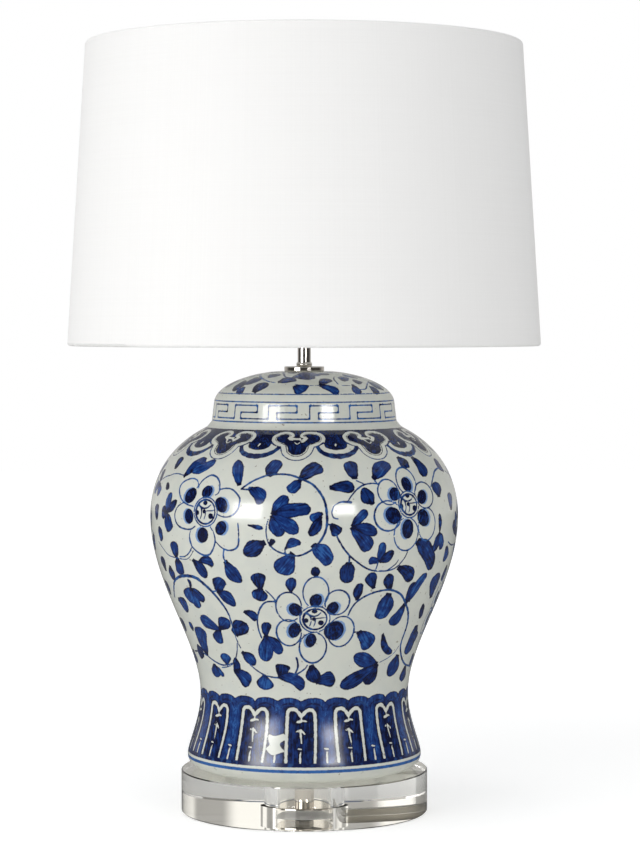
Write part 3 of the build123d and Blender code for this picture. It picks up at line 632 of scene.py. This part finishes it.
def leaf_outline(t0, s0, t1, s1, width, bend):
    """A leaf that widens from its point and closes in a round end, and its middle line."""
    k = degree_mm((s0 + s1) / 2)
    a, b = np.array((t0 * k, s0)), np.array((t1 * k, s1))
    along = (b - a) / np.hypot(*(b - a))
    across = np.array((-along[1], along[0]))
    count = 13
    f = np.linspace(0, 1, count)
    widest = 0.58 + 0.07 * math.sin(3.1 * t0 + s0)
    blunt = 2.8 + 0.9 * math.sin(1.7 * t1 + s1)
    rising = np.sin(math.pi / 2 * np.clip(f / widest, 0, 1)) ** 0.6
    closing = np.sqrt(np.clip(1 - (np.clip(f - widest, 0, 1) / (1 - widest)) ** blunt, 0, 1))
    unsteady = 1.06 + 0.11 * np.sin(7.0 * f + t0 + s1)
    half = width / 2 * np.where(f < widest, rising, closing) * unsteady
    half[0] = 0.19 * width
    middle = a + f[:, None] * (b - a) + (bend * np.sin(math.pi * f))[:, None] * across
    left = middle + half[:, None] * across
    right = middle - half[:, None] * across
    outline = np.concatenate([left, right[-2::-1]]) / (k, 1)
    return smooth_line(outline, closed=True, step=2.0), (a, b, k)


def ellipse(t, s, half_t, half_s, count, tilt=0.0):
    turn = np.linspace(0, 2 * math.pi, count, endpoint=False)
    across = t + half_t * np.cos(turn) + tilt * half_t * np.sin(turn)
    return np.column_stack([across, s + half_s * np.sin(turn)])


def moved(points, turn, rise=0):
    """Points brought to their place on the jar."""
    return [(turn + t, rise + s) for t, s in points]


def within_half(turn):
    return turn if turn < HALF else turn - 180


BRUSH_SEED = 7
LID_LEAF = 1.12
LID_LOW = 425


class Painter:
    """Collects the strokes of half the jar. Tones run from 0, pale, to 1, dark."""

    def __init__(self):
        self.masses = []
        self.lines = []
        self.washes = []
        self.blanks = []
        self.heads = []
        self.between = random.Random(BRUSH_SEED).uniform

    def leaf(self, t0, s0, t1, s1, width, bend):
        """A leaf, a little wider on the lid."""
        outline, axis = leaf_outline(t0, s0, t1, s1, width * (LID_LEAF if s0 > LID_LOW else 1), bend)
        self.masses.append((outline, self.between(0.25, 0.72), axis))

    def blot(self, outline, tone):
        self.masses.append((smooth_line(outline, True), tone, None))

    def line(self, points, start, middle, end, tone=0.5, bare=False):
        """A line of brushed paint with an unsteady width, or one that is left bare in the paint."""
        path = smooth_line(points, step=2.2)
        f = np.linspace(0, 1, len(path))
        width = np.interp(f, [0, 0.5, 1], [start, middle, end])
        waver = [0.16 * math.sin(2.1 * i + start * 9) * self.between(0.3, 1) for i in range(len(path))]
        (self.blanks if bare else self.lines).append((path, width * (1 + np.array(waver)), tone))

    def bare_marks(self, marks, turn):
        for points, *widths in marks:
            self.line(moved(points, turn), *widths, bare=True)


def paint_jar(painter):
    """Every stroke of the half turn."""
    for flower in [*FLOWERS, far_flower()]:
        paint_flower(painter, *flower)
    for petal in OPEN_PETALS:
        painter.line(petal, 1.3, 2.0, 1.1, tone=painter.between(0.3, 0.75))
    for vine in VINES:
        painter.line(*vine, tone=painter.between(0.35, 0.8))
    for leaf in LEAVES:
        painter.leaf(*leaf)
    for t, s, tips in BUNCHES:
        for tip_t, tip_s, width in tips:
            painter.leaf(t, s, tip_t, tip_s, width, painter.between(-1.5, 1.5))
    paint_ruyi(painter)
    paint_lotus(painter)
    paint_key(painter)


def far_flower():
    """The flower on the jar's side."""
    t, s, outer, inner, petals, blots = FLOWERS[1]
    turn, rise = FAR_FLOWER[0] - t, FAR_FLOWER[1] - s

    def squeezed(place):
        return FAR_FLOWER[0] + (place - t) * FAR_NARROW

    petals = [(squeezed(a), b + rise, c * FAR_NARROW, d) for a, b, c, d in petals]
    blots = [(squeezed(a), squeezed(b), c + rise, d + rise) for a, b, c, d in blots]
    return (t + turn, s + rise, outer * FAR_OUTER, inner * FAR_INNER, petals, blots)


def paint_flower(painter, t, s, outer, inner, petals, blots):
    """Two rings round an eye, petals that start at the outer ring, and a dark blot on each."""
    k = degree_mm(s)
    for ring, low, high, tone in ((outer, 1.2, 1.5, 0.45), (inner, 1.5, 2.4, 0.8)):
        shape = ellipse(t + 0.3, s + 0.6, ring / k, ring * 0.98, 18)
        painter.line([*shape, shape[0]], low, high, low, tone)
    for petal_t, petal_s, half_t, half_s in petals:
        shape = ellipse(petal_t, petal_s, half_t, half_s, 20)
        away = np.hypot((shape[:, 0] - t) * k, shape[:, 1] - s)
        open_end = int(np.argmin(away))
        shape = np.roll(shape, -open_end, axis=0)
        away = np.roll(away, -open_end)
        kept = [point for point, far in zip(shape, away) if far > outer - 0.5]
        painter.line(kept, 1.2, painter.between(1.2, 2.2), 1.2, tone=painter.between(0.3, 0.7))
    for low_t, high_t, low_s, high_s in blots:
        middle_t, middle_s = (low_t + high_t) / 2, (low_s + high_s) / 2
        half_t, half_s = (high_t - low_t) / 2, (high_s - low_s) / 2
        lean = painter.between(-0.25, 0.25)
        wash_t = middle_t + (0.8 if middle_t >= t else -0.8)
        painter.washes.append(ellipse(wash_t, middle_s, half_t * 1.05, half_s * 1.08, 18, lean))
        painter.blot(ellipse(middle_t, middle_s, half_t, half_s, 12, lean), painter.between(0.8, 1.0))
    for mark_t, mark_s, half_t, half_s in EYE_DOTS:
        painter.blot(ellipse(t + mark_t, s + mark_s, half_t / k * 1.1, half_s / 2, 8), 0.85)
    for points, *widths in EYE_LINES:
        painter.line(moved(points, t, s), *widths, tone=0.7)


def paint_ruyi(painter):
    """The ruyi heads, and a swag with a bowl in it between each two."""
    for step in range(5):
        middle = RUYI_FIRST + step * RUYI_STEP
        painter.heads.append(smooth_line(moved(RUYI_HEAD, middle), False, 1.6))
        painter.line(moved(RUYI_HEAD[9:18], middle), 1.0, 1.2, 1.0, tone=0.7)
        painter.bare_marks(RUYI_SCROLLS, middle)
        for way in (-1, 1):
            under = [(middle + way * t, s) for t, s in RUYI_UNDER]
            painter.line(under, 2.2, 1.6, 1.0, tone=0.95)
        swag = within_half(middle + RUYI_STEP / 2)
        painter.line(moved(SWAG, swag), 3.8, 6.4, 3.8, tone=0.9)
        painter.blot(moved(BOWL, swag), 0.82)
        painter.line([(swag + 0.2, 368.6), (swag - 0.2, 366.2)], 1.6, 2.4, 1.6, bare=True)


def paint_lotus(painter):
    """The bare arches and marks of the lotus panels, and an arc in each scallop over them."""
    for step in range(7):
        middle = PANEL_MIDDLE - 3 * PANEL_STEP + step * PANEL_STEP
        painter.bare_marks([(PANEL_ARCH, 2.8, 3.3, 2.4), *PANEL_MARKS], middle)
        painter.bare_marks(COLUMN_MARKS, within_half(middle + PANEL_STEP / 2))
        for scallop in (0.25, 0.75):
            centre = middle + (scallop * 2 - 1) * PANEL_STEP / 2
            painter.line(moved(SCALLOP_ARC, centre, -SCALLOP_ARC_DROP), 1.0, 2.2, 1.0, tone=0.95)


def paint_key(painter):
    """The key pattern round the neck, each bar of it a stroke."""
    for step in range(7):
        start = KEY_START + step * KEY_STEP
        for bar in zip(KEY[:-1], KEY[1:]):
            painter.line(moved(bar, start), 1.6, 1.15, 1.5, tone=painter.between(0.2, 0.75))


def segment_distance(t, s, path, closed, width=None):
    """Distance in mm from points to a line of (t, s) points, less half its width there."""
    a = path
    b = np.roll(path, -1, axis=0) if closed else path[1:]
    a = a if closed else path[:-1]
    k = degree_mm(s)[:, None]
    px, py = t[:, None] * k, s[:, None]
    ax, ay = a[None, :, 0] * k, a[None, :, 1]
    dx, dy = (b[None, :, 0] - a[None, :, 0]) * k, (b - a)[None, :, 1]
    f = np.clip(((px - ax) * dx + (py - ay) * dy) / (dx * dx + dy * dy + 1e-9), 0, 1)
    far = np.hypot(px - ax - f * dx, py - ay - f * dy)
    if width is not None:
        far = far - 0.5 * (width[None, :-1] * (1 - f) + width[None, 1:] * f)
    return far.min(axis=1)


def inside(t, s, outline):
    """True for points inside a closed outline."""
    a, b = outline, np.roll(outline, -1, axis=0)
    crosses = (a[None, :, 1] > s[:, None]) != (b[None, :, 1] > s[:, None])
    slope = (b[:, 0] - a[:, 0]) / (b[:, 1] - a[:, 1] + 1e-12)
    left = t[:, None] < a[None, :, 0] + slope[None] * (s[:, None] - a[None, :, 1])
    return (crosses & left).sum(axis=1) % 2 == 1


# How far in mm the paint is measured from a stroke, and the value beyond that.
REACH = 6.0
OUTSIDE = -9.0


def near(t, s, path):
    """The points within reach of a line's box, and their turns brought beside it."""
    margin = REACH / degree_mm(path[:, 1].mean())
    low, high = path.min(axis=0), path.max(axis=0)
    level = (s > low[1] - REACH) & (s < high[1] + REACH)
    for shift in (0, -180, 180):
        beside = t + shift
        found = np.flatnonzero(level & (beside > low[0] - margin) & (beside < high[0] + margin))
        if len(found):
            yield found, beside[found]


def signed(t, s, outline):
    far = segment_distance(t, s, outline, True)
    return np.where(inside(t, s, outline), far, -far)


def scallop_edge(t):
    """The height of the scalloped edge over the lotus panels."""
    part = ((t - PANEL_MIDDLE) / (PANEL_STEP / 2)) % 1.0
    return SCALLOP_CUSP + (SCALLOP_TOP - SCALLOP_CUSP) * np.sqrt(np.clip(1 - (2 * part - 1) ** 2, 0, 1))


def lotus_tone(t, s):
    """Dark inside the panels, pale up the columns, and dark again along the columns' edges."""
    beside = np.abs((t - PANEL_MIDDLE + PANEL_STEP / 2) % PANEL_STEP - PANEL_STEP / 2)
    column = np.interp(beside, COLUMN_EDGES, COLUMN_TONES)
    return np.where(s > SCALLOP_CUSP - 4, SCALLOP_TONE, column)


# The place along the brush's run where a stroke has no stem, in mm.
PLAIN_RUN = 12.0
PATCH = smooth_line(BLANK, True, 1.5)


def measure_masses(painter, t, s, layers):
    """Leaves and blots: how deep each point lies in them, and its place along the brush's run."""
    paint, rim, tone, along, across = (layers[name] for name in ("paint", "rim", "tone", "along", "across"))
    for outline, own_tone, axis in painter.masses:
        for found, beside in near(t, s, outline):
            d = signed(beside, s[found], outline)
            over = (d > paint[found]) | (d > 0)
            hit = found[over]
            rim[hit] = d[over]
            tone[hit] = own_tone
            if axis:
                a, b, k = axis
                run = (b - a) / np.hypot(*(b - a))
                dx, dy = (beside * k - a[0])[over], (s[found] - a[1])[over]
                along[hit] = dx * run[0] + dy * run[1]
                across[hit] = dy * run[0] - dx * run[1]
            else:
                along[hit] = PLAIN_RUN + s[hit] * 4.0
            paint[found] = np.maximum(paint[found], d)


def measure_lines(painter, t, s, layers):
    """Lines and rings, each with its own tone."""
    line, tone = layers["line"], layers["line_tone"]
    for path, width, own_tone in painter.lines:
        for found, beside in near(t, s, path):
            d = line_depth(beside, s[found], path, width)
            tone[found] = np.where(d > line[found], own_tone, tone[found])
            line[found] = np.maximum(line[found], d)
    for level, width, own_tone in RINGS:
        d = width / 2 - np.abs(s - level)
        tone[:] = np.where(d > line, own_tone, tone)
        line[:] = np.maximum(line, d)


def measure_ground(t, s, layers):
    """The dark ground behind the ruyi heads, and the lotus band up to its scalloped edge."""
    paint, rim, tone = layers["paint"], layers["rim"], layers["tone"]
    behind_heads = np.minimum(RUYI_TOP - s, s - RUYI_GROUND_LOW)
    ground = np.maximum(behind_heads, np.minimum(scallop_edge(t) - s, s - LOTUS_LOW))
    own = (ground > -REACH) & (ground > paint)
    paint[own], rim[own] = ground[own], ground[own]
    tone[own] = np.where(s[own] > BELLY[1], RUYI_GROUND_TONE, lotus_tone(t[own], s[own]))


def measure_heads(painter, t, s, layers):
    """Each ruyi head, over the ground: a white band, a thin line, a gap and a navy core."""
    paint, rim, tone = layers["paint"], layers["rim"], layers["tone"]
    for outline in painter.heads:
        for found, beside in near(t, s, outline):
            far_in = segment_distance(beside, s[found], outline, False)
            upper = np.interp(s[found], RUYI_UPPER, [1.0, RUYI_UPPER_THINNER])
            d = np.where(inside(beside, s[found], outline), far_in * upper, -far_in)
            navy = np.maximum(np.minimum(d - RUYI_WHITE, RUYI_LINE - d), d - RUYI_INNER)
            within = d > 0
            hit = found[within]
            paint[hit] = navy[within]
            rim[hit] = navy[within]
            tone[hit] = RUYI_TONE
            outer = found[~within]
            close = np.abs(beside[~within] - outline[:, 0].mean()) < NOTCH_HALF_WIDTH
            notch = close & (s[outer] > NOTCH_LOW)
            paint[outer] = np.where(notch, paint[outer], np.minimum(paint[outer], -d[~within]))


def line_depth(t, s, path, width, tone=None):
    return -segment_distance(t, s, path, False, width)


def deepest(t, s, strokes, depth):
    """How deep in mm each point lies in any of the strokes."""
    most = np.full(len(t), OUTSIDE)
    for stroke in strokes:
        for found, beside in near(t, s, stroke[0]):
            most[found] = np.maximum(most[found], depth(beside, s[found], *stroke))
    return most


def measure_paint(painter, t, s):
    """What the shader reads at each point: distances in mm into the paint, and tones."""
    layers = {name: np.full(len(t), OUTSIDE) for name in ("paint", "rim", "line")}
    layers.update({name: np.full(len(t), 0.5) for name in ("tone", "line_tone")})
    layers["along"] = PLAIN_RUN + s
    layers["across"] = t * degree_mm(s)
    layers["wash"] = deepest(t, s, [(outline,) for outline in painter.washes], signed)
    measure_masses(painter, t, s, layers)
    measure_lines(painter, t, s, layers)
    measure_ground(t, s, layers)
    measure_heads(painter, t, s, layers)
    bare = deepest(t, s, painter.blanks, line_depth)
    bare = np.maximum(bare, deepest(t, s, [(PATCH,)], signed))
    for name in ("paint", "rim"):
        layers[name] = np.minimum(layers[name], -bare)
    return layers


def offset_row(path, distance, closed):
    """The line moved to its left by a distance in mm."""
    t, s = path.T
    k = degree_mm(s)
    index = np.arange(len(path))
    ends = "wrap" if closed else "clip"
    run = path.take(index + 1, axis=0, mode=ends) - path.take(index - 1, axis=0, mode=ends)
    dx, dy = run[:, 0] * k, run[:, 1]
    length = np.hypot(dx, dy) + 1e-9
    return np.column_stack([t - dy / length * distance / k, s + dx / length * distance])


# Rows of points in the jar's mesh, as distances in mm into an edge of paint, and how far out a
# point of a head's row may be before it counts as folded over.
MASS_ROWS = (-0.45, 0.45, 2.0)
WASH_ROWS = (-0.8, 0.8)
PATCH_ROWS = (-0.4, 0.4)
HEAD_ROWS = (-0.4, 0.4, 4.1, 4.9, 5.7, 6.6, 2.7, 3.3, 3.8, 4.5)
SCALLOP_ROWS = (-0.5, 0.5, 2.2)
BESIDE_LINE = 0.4
FOLD_LIMIT = 0.35
# Steps round a ring in degrees and up a column in mm, and the coarse grid in mm.
ROUND_STEP = 1.1
COLUMN_STEP = 3.0
GRID_LOW = 2.5
GRID_STEP = 5.0
GRID_WIDTH = 5.5
# Points in one cell of this size in mm become one. A point keeps these distances from the
# two seams and the two ends, and a seam and an end have this many points.
MESH_CELL = 0.55
SEAM_GAP = 0.7
END_GAP = 0.9
SEAM_POINTS = 300
RING_COUNT = 60
# About what a degree measures in mm, so that the triangles come out even.
STRETCH = 2.1
NORMAL_LAYERS = ("normal_x", "normal_y", "normal_z")


def row(t, s):
    """Points from turns and levels, of which one may be a single value."""
    return np.column_stack(np.broadcast_arrays(t, s))


def mesh_points(painter):
    """Where the jar's mesh needs points."""
    rows = []
    for outline, _, _ in painter.masses:
        rows += [offset_row(outline, d, True) for d in MASS_ROWS]
    for outline in painter.washes:
        rows += [offset_row(outline, d, True) for d in WASH_ROWS]
    for path, width, _ in painter.lines + painter.blanks:
        rows += [offset_row(path, d * (width / 2 + BESIDE_LINE), False) for d in (0, 1, -1)]
    for outline in painter.heads:
        rows += [head_row(outline, d) for d in HEAD_ROWS]
    rows += [offset_row(PATCH, d, True) for d in PATCH_ROWS]
    around = np.arange(-HALF, HALF, ROUND_STEP)
    for level, width, _ in RINGS:
        for d in (-width / 2 - BESIDE_LINE, -width / 4, 0, width / 4, width / 2 + BESIDE_LINE):
            if width > 2 or abs(d) != width / 4:
                rows.append(row(around, level + d))
    for level in (RUYI_TOP - 0.5, RUYI_TOP + 0.5, LOTUS_LOW - 0.4, LOTUS_LOW + 0.4):
        rows.append(row(around, level))
    rows += [row(around, scallop_edge(around) + d) for d in SCALLOP_ROWS]
    up = np.arange(LOTUS_LOW + 1, SCALLOP_CUSP, COLUMN_STEP)
    for step in range(7):
        for beside in COLUMN_EDGES[:-1]:
            for turn in (-beside, beside):
                rows.append(row(PANEL_MIDDLE + (step - 3) * PANEL_STEP + turn, up))
    for number, level in enumerate(np.arange(GRID_LOW, S_TOP - 3, GRID_STEP)):
        count = int(2 * HALF / (GRID_WIDTH / degree_mm(level)))
        turns = -HALF + (np.arange(count) + (0.25 if number % 2 else 0.75)) * 2 * HALF / count
        rows.append(row(turns, level))
    points = np.concatenate(rows)
    points[:, 0] = (points[:, 0] + HALF) % 180 - HALF
    return points


def head_row(outline, distance):
    """A line at a distance inside a ruyi head, which lies to the left of its outline's run."""
    line = offset_row(outline, distance, False)
    far = segment_distance(*line.T, outline, False)
    true = np.where(inside(*line.T, outline), far, -far)
    return line[np.abs(true - distance) < FOLD_LIMIT]




def jar_grid(painter):
    """Points and triangles of half the jar's outside, as (t, s) and as index triples."""
    points = mesh_points(painter)
    k = degree_mm(points[:, 1])
    clear = np.abs(points[:, 0]) < HALF - SEAM_GAP / k
    clear &= (points[:, 1] > S_LOW + END_GAP) & (points[:, 1] < S_TOP - END_GAP)
    points, k = points[clear], k[clear]
    cell = np.round(points * np.column_stack([k, np.ones(len(k))]) / MESH_CELL).astype(int)
    _, first = np.unique(cell, axis=0, return_index=True)
    points = points[np.sort(first)]
    levels = np.linspace(S_LOW, S_TOP, SEAM_POINTS)
    turns = np.linspace(-HALF, HALF, RING_COUNT + 1)[1:-1]
    sides = [row(turns, S_LOW), row(HALF, levels), row(turns, S_TOP)[::-1], row(-HALF, levels)[::-1]]
    border = np.concatenate(sides)
    flat = [Vector((t * STRETCH, s)) for t, s in np.concatenate([border, points])]
    edges = [(i, (i + 1) % len(border)) for i in range(len(border))]
    made, _, faces, *_ = delaunay_2d_cdt(flat, edges, [], 0, 1e-4)
    grid = np.array([(v.x / STRETCH, v.y) for v in made])
    return grid, [tuple(face) for face in faces]


def jar_inside():
    """The rest of the jar's wall as (radius, height), from the crown in, down and out to the foot."""
    hole = JAR_HOLE_RADIUS
    top, floor_low = CROWN[1], FOOT[1] + JAR_FOOT_RECESS
    floor_high = floor_low + JAR_FLOOR
    inner = jar_profile(JAR_WALL, floor_high, top - JAR_WALL)[::-6]
    foot_inner = FOOT[0] - JAR_FOOT_WIDTH
    rest = [(hole, top), (hole, top - JAR_WALL), *map(tuple, inner), (hole, floor_high), (hole, floor_low)]
    return rest + [(foot_inner, floor_low), (foot_inner, FOOT[1])]


def round_axis(radius, height, turn):
    """Points at a turn round the lamp's axis."""
    return np.column_stack(np.broadcast_arrays(radius * np.sin(turn), -radius * np.cos(turn), height))


def jar_outside(grid, faces):
    """Both halves of the outside: points, normals and triangles."""
    r = radius_at(grid[:, 1])
    z = np.interp(grid[:, 1], side_s, side[:, 1])
    slope = np.gradient(side, side_s, axis=0)
    nr, nz = np.interp(grid[:, 1], side_s, slope[:, 1]), -np.interp(grid[:, 1], side_s, slope[:, 0])
    places, normals, triangles = [], [], []
    for half in (0, 1):
        turn = np.radians(grid[:, 0] + 180 * half)
        places.append(round_axis(r, z, turn) * MM)
        normals.append(round_axis(nr, nz, turn))
        triangles += [tuple(i + half * len(grid) for i in face) for face in faces]
    return np.concatenate(places), np.concatenate(normals), triangles


def write(mesh, name, values):
    """Gives each point of a mesh a value."""
    layer = mesh.attributes.new(name, "FLOAT", "POINT")
    layer.data.foreach_set("value", values.astype(np.float32))


def read(items, name, width=1, kind=np.float32):
    """Each item's value, or its row of values."""
    values = np.zeros(len(items) * width, kind)
    items.foreach_get(name, values)
    return values.reshape(-1, width) if width > 1 else values


def make_painted_jar():
    """The jar as one mesh that carries its paint, in place of the CAD piece."""
    painter = Painter()
    paint_jar(painter)
    grid, faces = jar_grid(painter)
    layers = measure_paint(painter, grid[:, 0], grid[:, 1])
    places, normals, triangles = jar_outside(grid, faces)
    turns = np.radians(np.arange(2 * RING_COUNT) * 180 / RING_COUNT - HALF)
    rings = [round_axis(r, z, turns) * MM for r, z in [CROWN, *jar_inside(), FOOT]]
    for number in range(len(rings) - 1):
        low = len(places) + number * len(turns)
        high = low + len(turns)
        for i in range(2 * RING_COUNT):
            j = (i + 1) % (2 * RING_COUNT)
            triangles.append((low + i, low + j, high + j, high + i))
    rest = len(rings) * len(turns)
    mesh = bpy.data.meshes.new("painted_jar")
    mesh.from_pydata(np.concatenate([places, *rings]).tolist(), [], triangles)
    for name, value in layers.items():
        write(mesh, name, np.concatenate([value, value, np.full(rest, OUTSIDE)]))
    for axis, name in enumerate(NORMAL_LAYERS):
        write(mesh, name, np.concatenate([normals[:, axis], np.zeros(rest)]))
    build = bmesh.new()
    build.from_mesh(mesh)
    bmesh.ops.remove_doubles(build, verts=build.verts, dist=1e-5)
    bmesh.ops.recalc_face_normals(build, faces=build.faces)
    build.to_mesh(mesh)
    build.free()
    smooth_jar(mesh)
    jar = bpy.data.objects.new("painted_jar", mesh)
    scene.collection.objects.link(jar)
    mesh.materials.append(porcelain())
    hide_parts("jar")
    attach(jar, "stand")


SHARP_COSINE = 0.86


def smooth_jar(mesh):
    """Smooth shading, with the profile's own normals on the outside."""
    wanted = np.column_stack([read(mesh.attributes[name].data, "value") for name in NORMAL_LAYERS])
    own = read(mesh.vertices, "normal", 3)
    known = np.linalg.norm(wanted, axis=1) > 0.5
    wanted[~known] = own[~known]
    wanted /= np.linalg.norm(wanted, axis=1)[:, None] + 1e-9
    mesh.shade_smooth()
    corner = wanted[read(mesh.loops, "vertex_index", kind=np.int32)]
    sizes = read(mesh.polygons, "loop_total", kind=np.int32)
    face = np.repeat(read(mesh.polygons, "normal", 3), sizes, axis=0)
    sharp = (corner * face).sum(axis=1) < SHARP_COSINE
    corner[sharp] = face[sharp]
    mesh.normals_split_custom_set(corner.tolist())
    for name in NORMAL_LAYERS:
        mesh.attributes.remove(mesh.attributes[name])


GLAZE = rgb(220, 222, 212)
GLAZE_SHADED = rgb(214, 217, 209)
SPECK = rgb(120, 104, 80)
PALEST_BLUE = rgb(120, 160, 212)
LINE_PALE = rgb(54, 104, 172)
LINE_DARK = rgb(14, 26, 74)
LIGHT_BLUE = rgb(42, 92, 160)
MID_BLUE = rgb(22, 54, 120)
PALE_BLUE = rgb(84, 126, 190)
NAVY = rgb(9, 16, 52)

# The glaze is a little duller under the belly, and duller still on the lotus band. Heights
# are in metres.
BELLY_FROM, BELLY_TO = 0.32, 0.37
BELLY_ROUGHNESS, UPPER_ROUGHNESS = 0.10, 0.05
LOTUS_FROM, LOTUS_TO = 0.118, 0.132
LOTUS_ROUGHNESS = 0.20


def attribute(tree, name):
    return add(tree, "Attribute", attribute_name=name).outputs["Fac"]


def cobalt(tree, blotch):
    """The paint's colour: darker at its rims and at a stem, and streaked along the brush's run."""
    across, along, tone = (attribute(tree, name) for name in ("across", "along", "tone"))
    slower, own = maths("MULTIPLY", along, 0.13), maths("MULTIPLY", tone, 90.0)
    streak = noise(0.62, 3.0, combine(across, slower, own))
    rim = ramp(attribute(tree, "rim"), 0.1, 1.7, 0.42, 0.0)
    stem = ramp(along, 0.0, 8.0, 0.45, 0.0)
    dark = maths("ADD", maths("ADD", rim, stem), tone)
    dark = maths("ADD", dark, ramp(streak, 0.3, 0.7, -0.34, 0.34, False))
    dark = maths("ADD", dark, ramp(blotch, 0.3, 0.7, -0.27, 0.27, False), clamp=True)
    colour = blend(ramp(dark, 0.0, 0.4), LIGHT_BLUE, MID_BLUE)
    return blend(ramp(dark, 0.35, 1.0), colour, NAVY)


def porcelain():
    """Off-white glaze with specks in it, painted with washes, brushed cobalt and lines."""
    material = principled("painted_porcelain", base=GLAZE, roughness=0.06, specular=0.55)
    tree = material.node_tree
    where = place(tree)
    ragged = maths("SUBTRACT", noise(420.0, 3.0, where), 0.5)
    slow = noise(60.0, 3.0, where)
    blotch = noise(170.0, 4.0, where)
    speck = noise(300.0, 1.0, where)

    def edge(name, waver, low, high, most=1.0):
        """Where one kind of stroke is, with a ragged edge."""
        depth = maths("MULTIPLY_ADD", ragged, waver, attribute(tree, name))
        return ramp(depth, low, high, 0.0, most)

    colour = blend(ramp(slow, 0.35, 0.7), GLAZE, GLAZE_SHADED)
    colour = blend(ramp(speck, 0.725, 0.78, 0.0, 0.6), colour, SPECK)
    wash_colour = blend(blotch, PALE_BLUE, PALEST_BLUE)
    colour = blend(edge("wash", 1.8, -0.5, 0.6, 0.9), colour, wash_colour)
    colour = blend(edge("paint", 1.1, -0.32, 0.32), colour, cobalt(tree, blotch))
    uneven = ramp(blotch, 0.3, 0.7, -0.4, 0.4)
    line_dark = maths("ADD", attribute(tree, "line_tone"), uneven, clamp=True)
    line_colour = blend(line_dark, LINE_PALE, LINE_DARK)
    colour = blend(edge("line", 0.6, -0.30, 0.30), colour, line_colour)
    feed("Base Color", colour)
    height = split(where)[2]
    belly = ramp(height, BELLY_FROM, BELLY_TO, BELLY_ROUGHNESS, UPPER_ROUGHNESS)
    lotus = ramp(height, LOTUS_FROM, LOTUS_TO, LOTUS_ROUGHNESS, 0.0)
    feed("Roughness", maths("MAXIMUM", belly, lotus))
    return material


# ---- put it together ----------------------------------------------------------------


def paint_nodes():
    made = {name: principled(name, *look) for name, look in PLAIN.items()}
    made["clear_acrylic"] = acrylic()
    made["shade_linen"] = linen()
    for part in frame["record"]["subparts"]:
        if part["material_slot"] in made:
            piece = nodes[part["node"]]
            piece.data.materials.clear()
            piece.data.materials.append(made[part["material_slot"]])


make_camera()
make_world()
make_lights()
make_floor()
paint_nodes()
make_painted_jar()
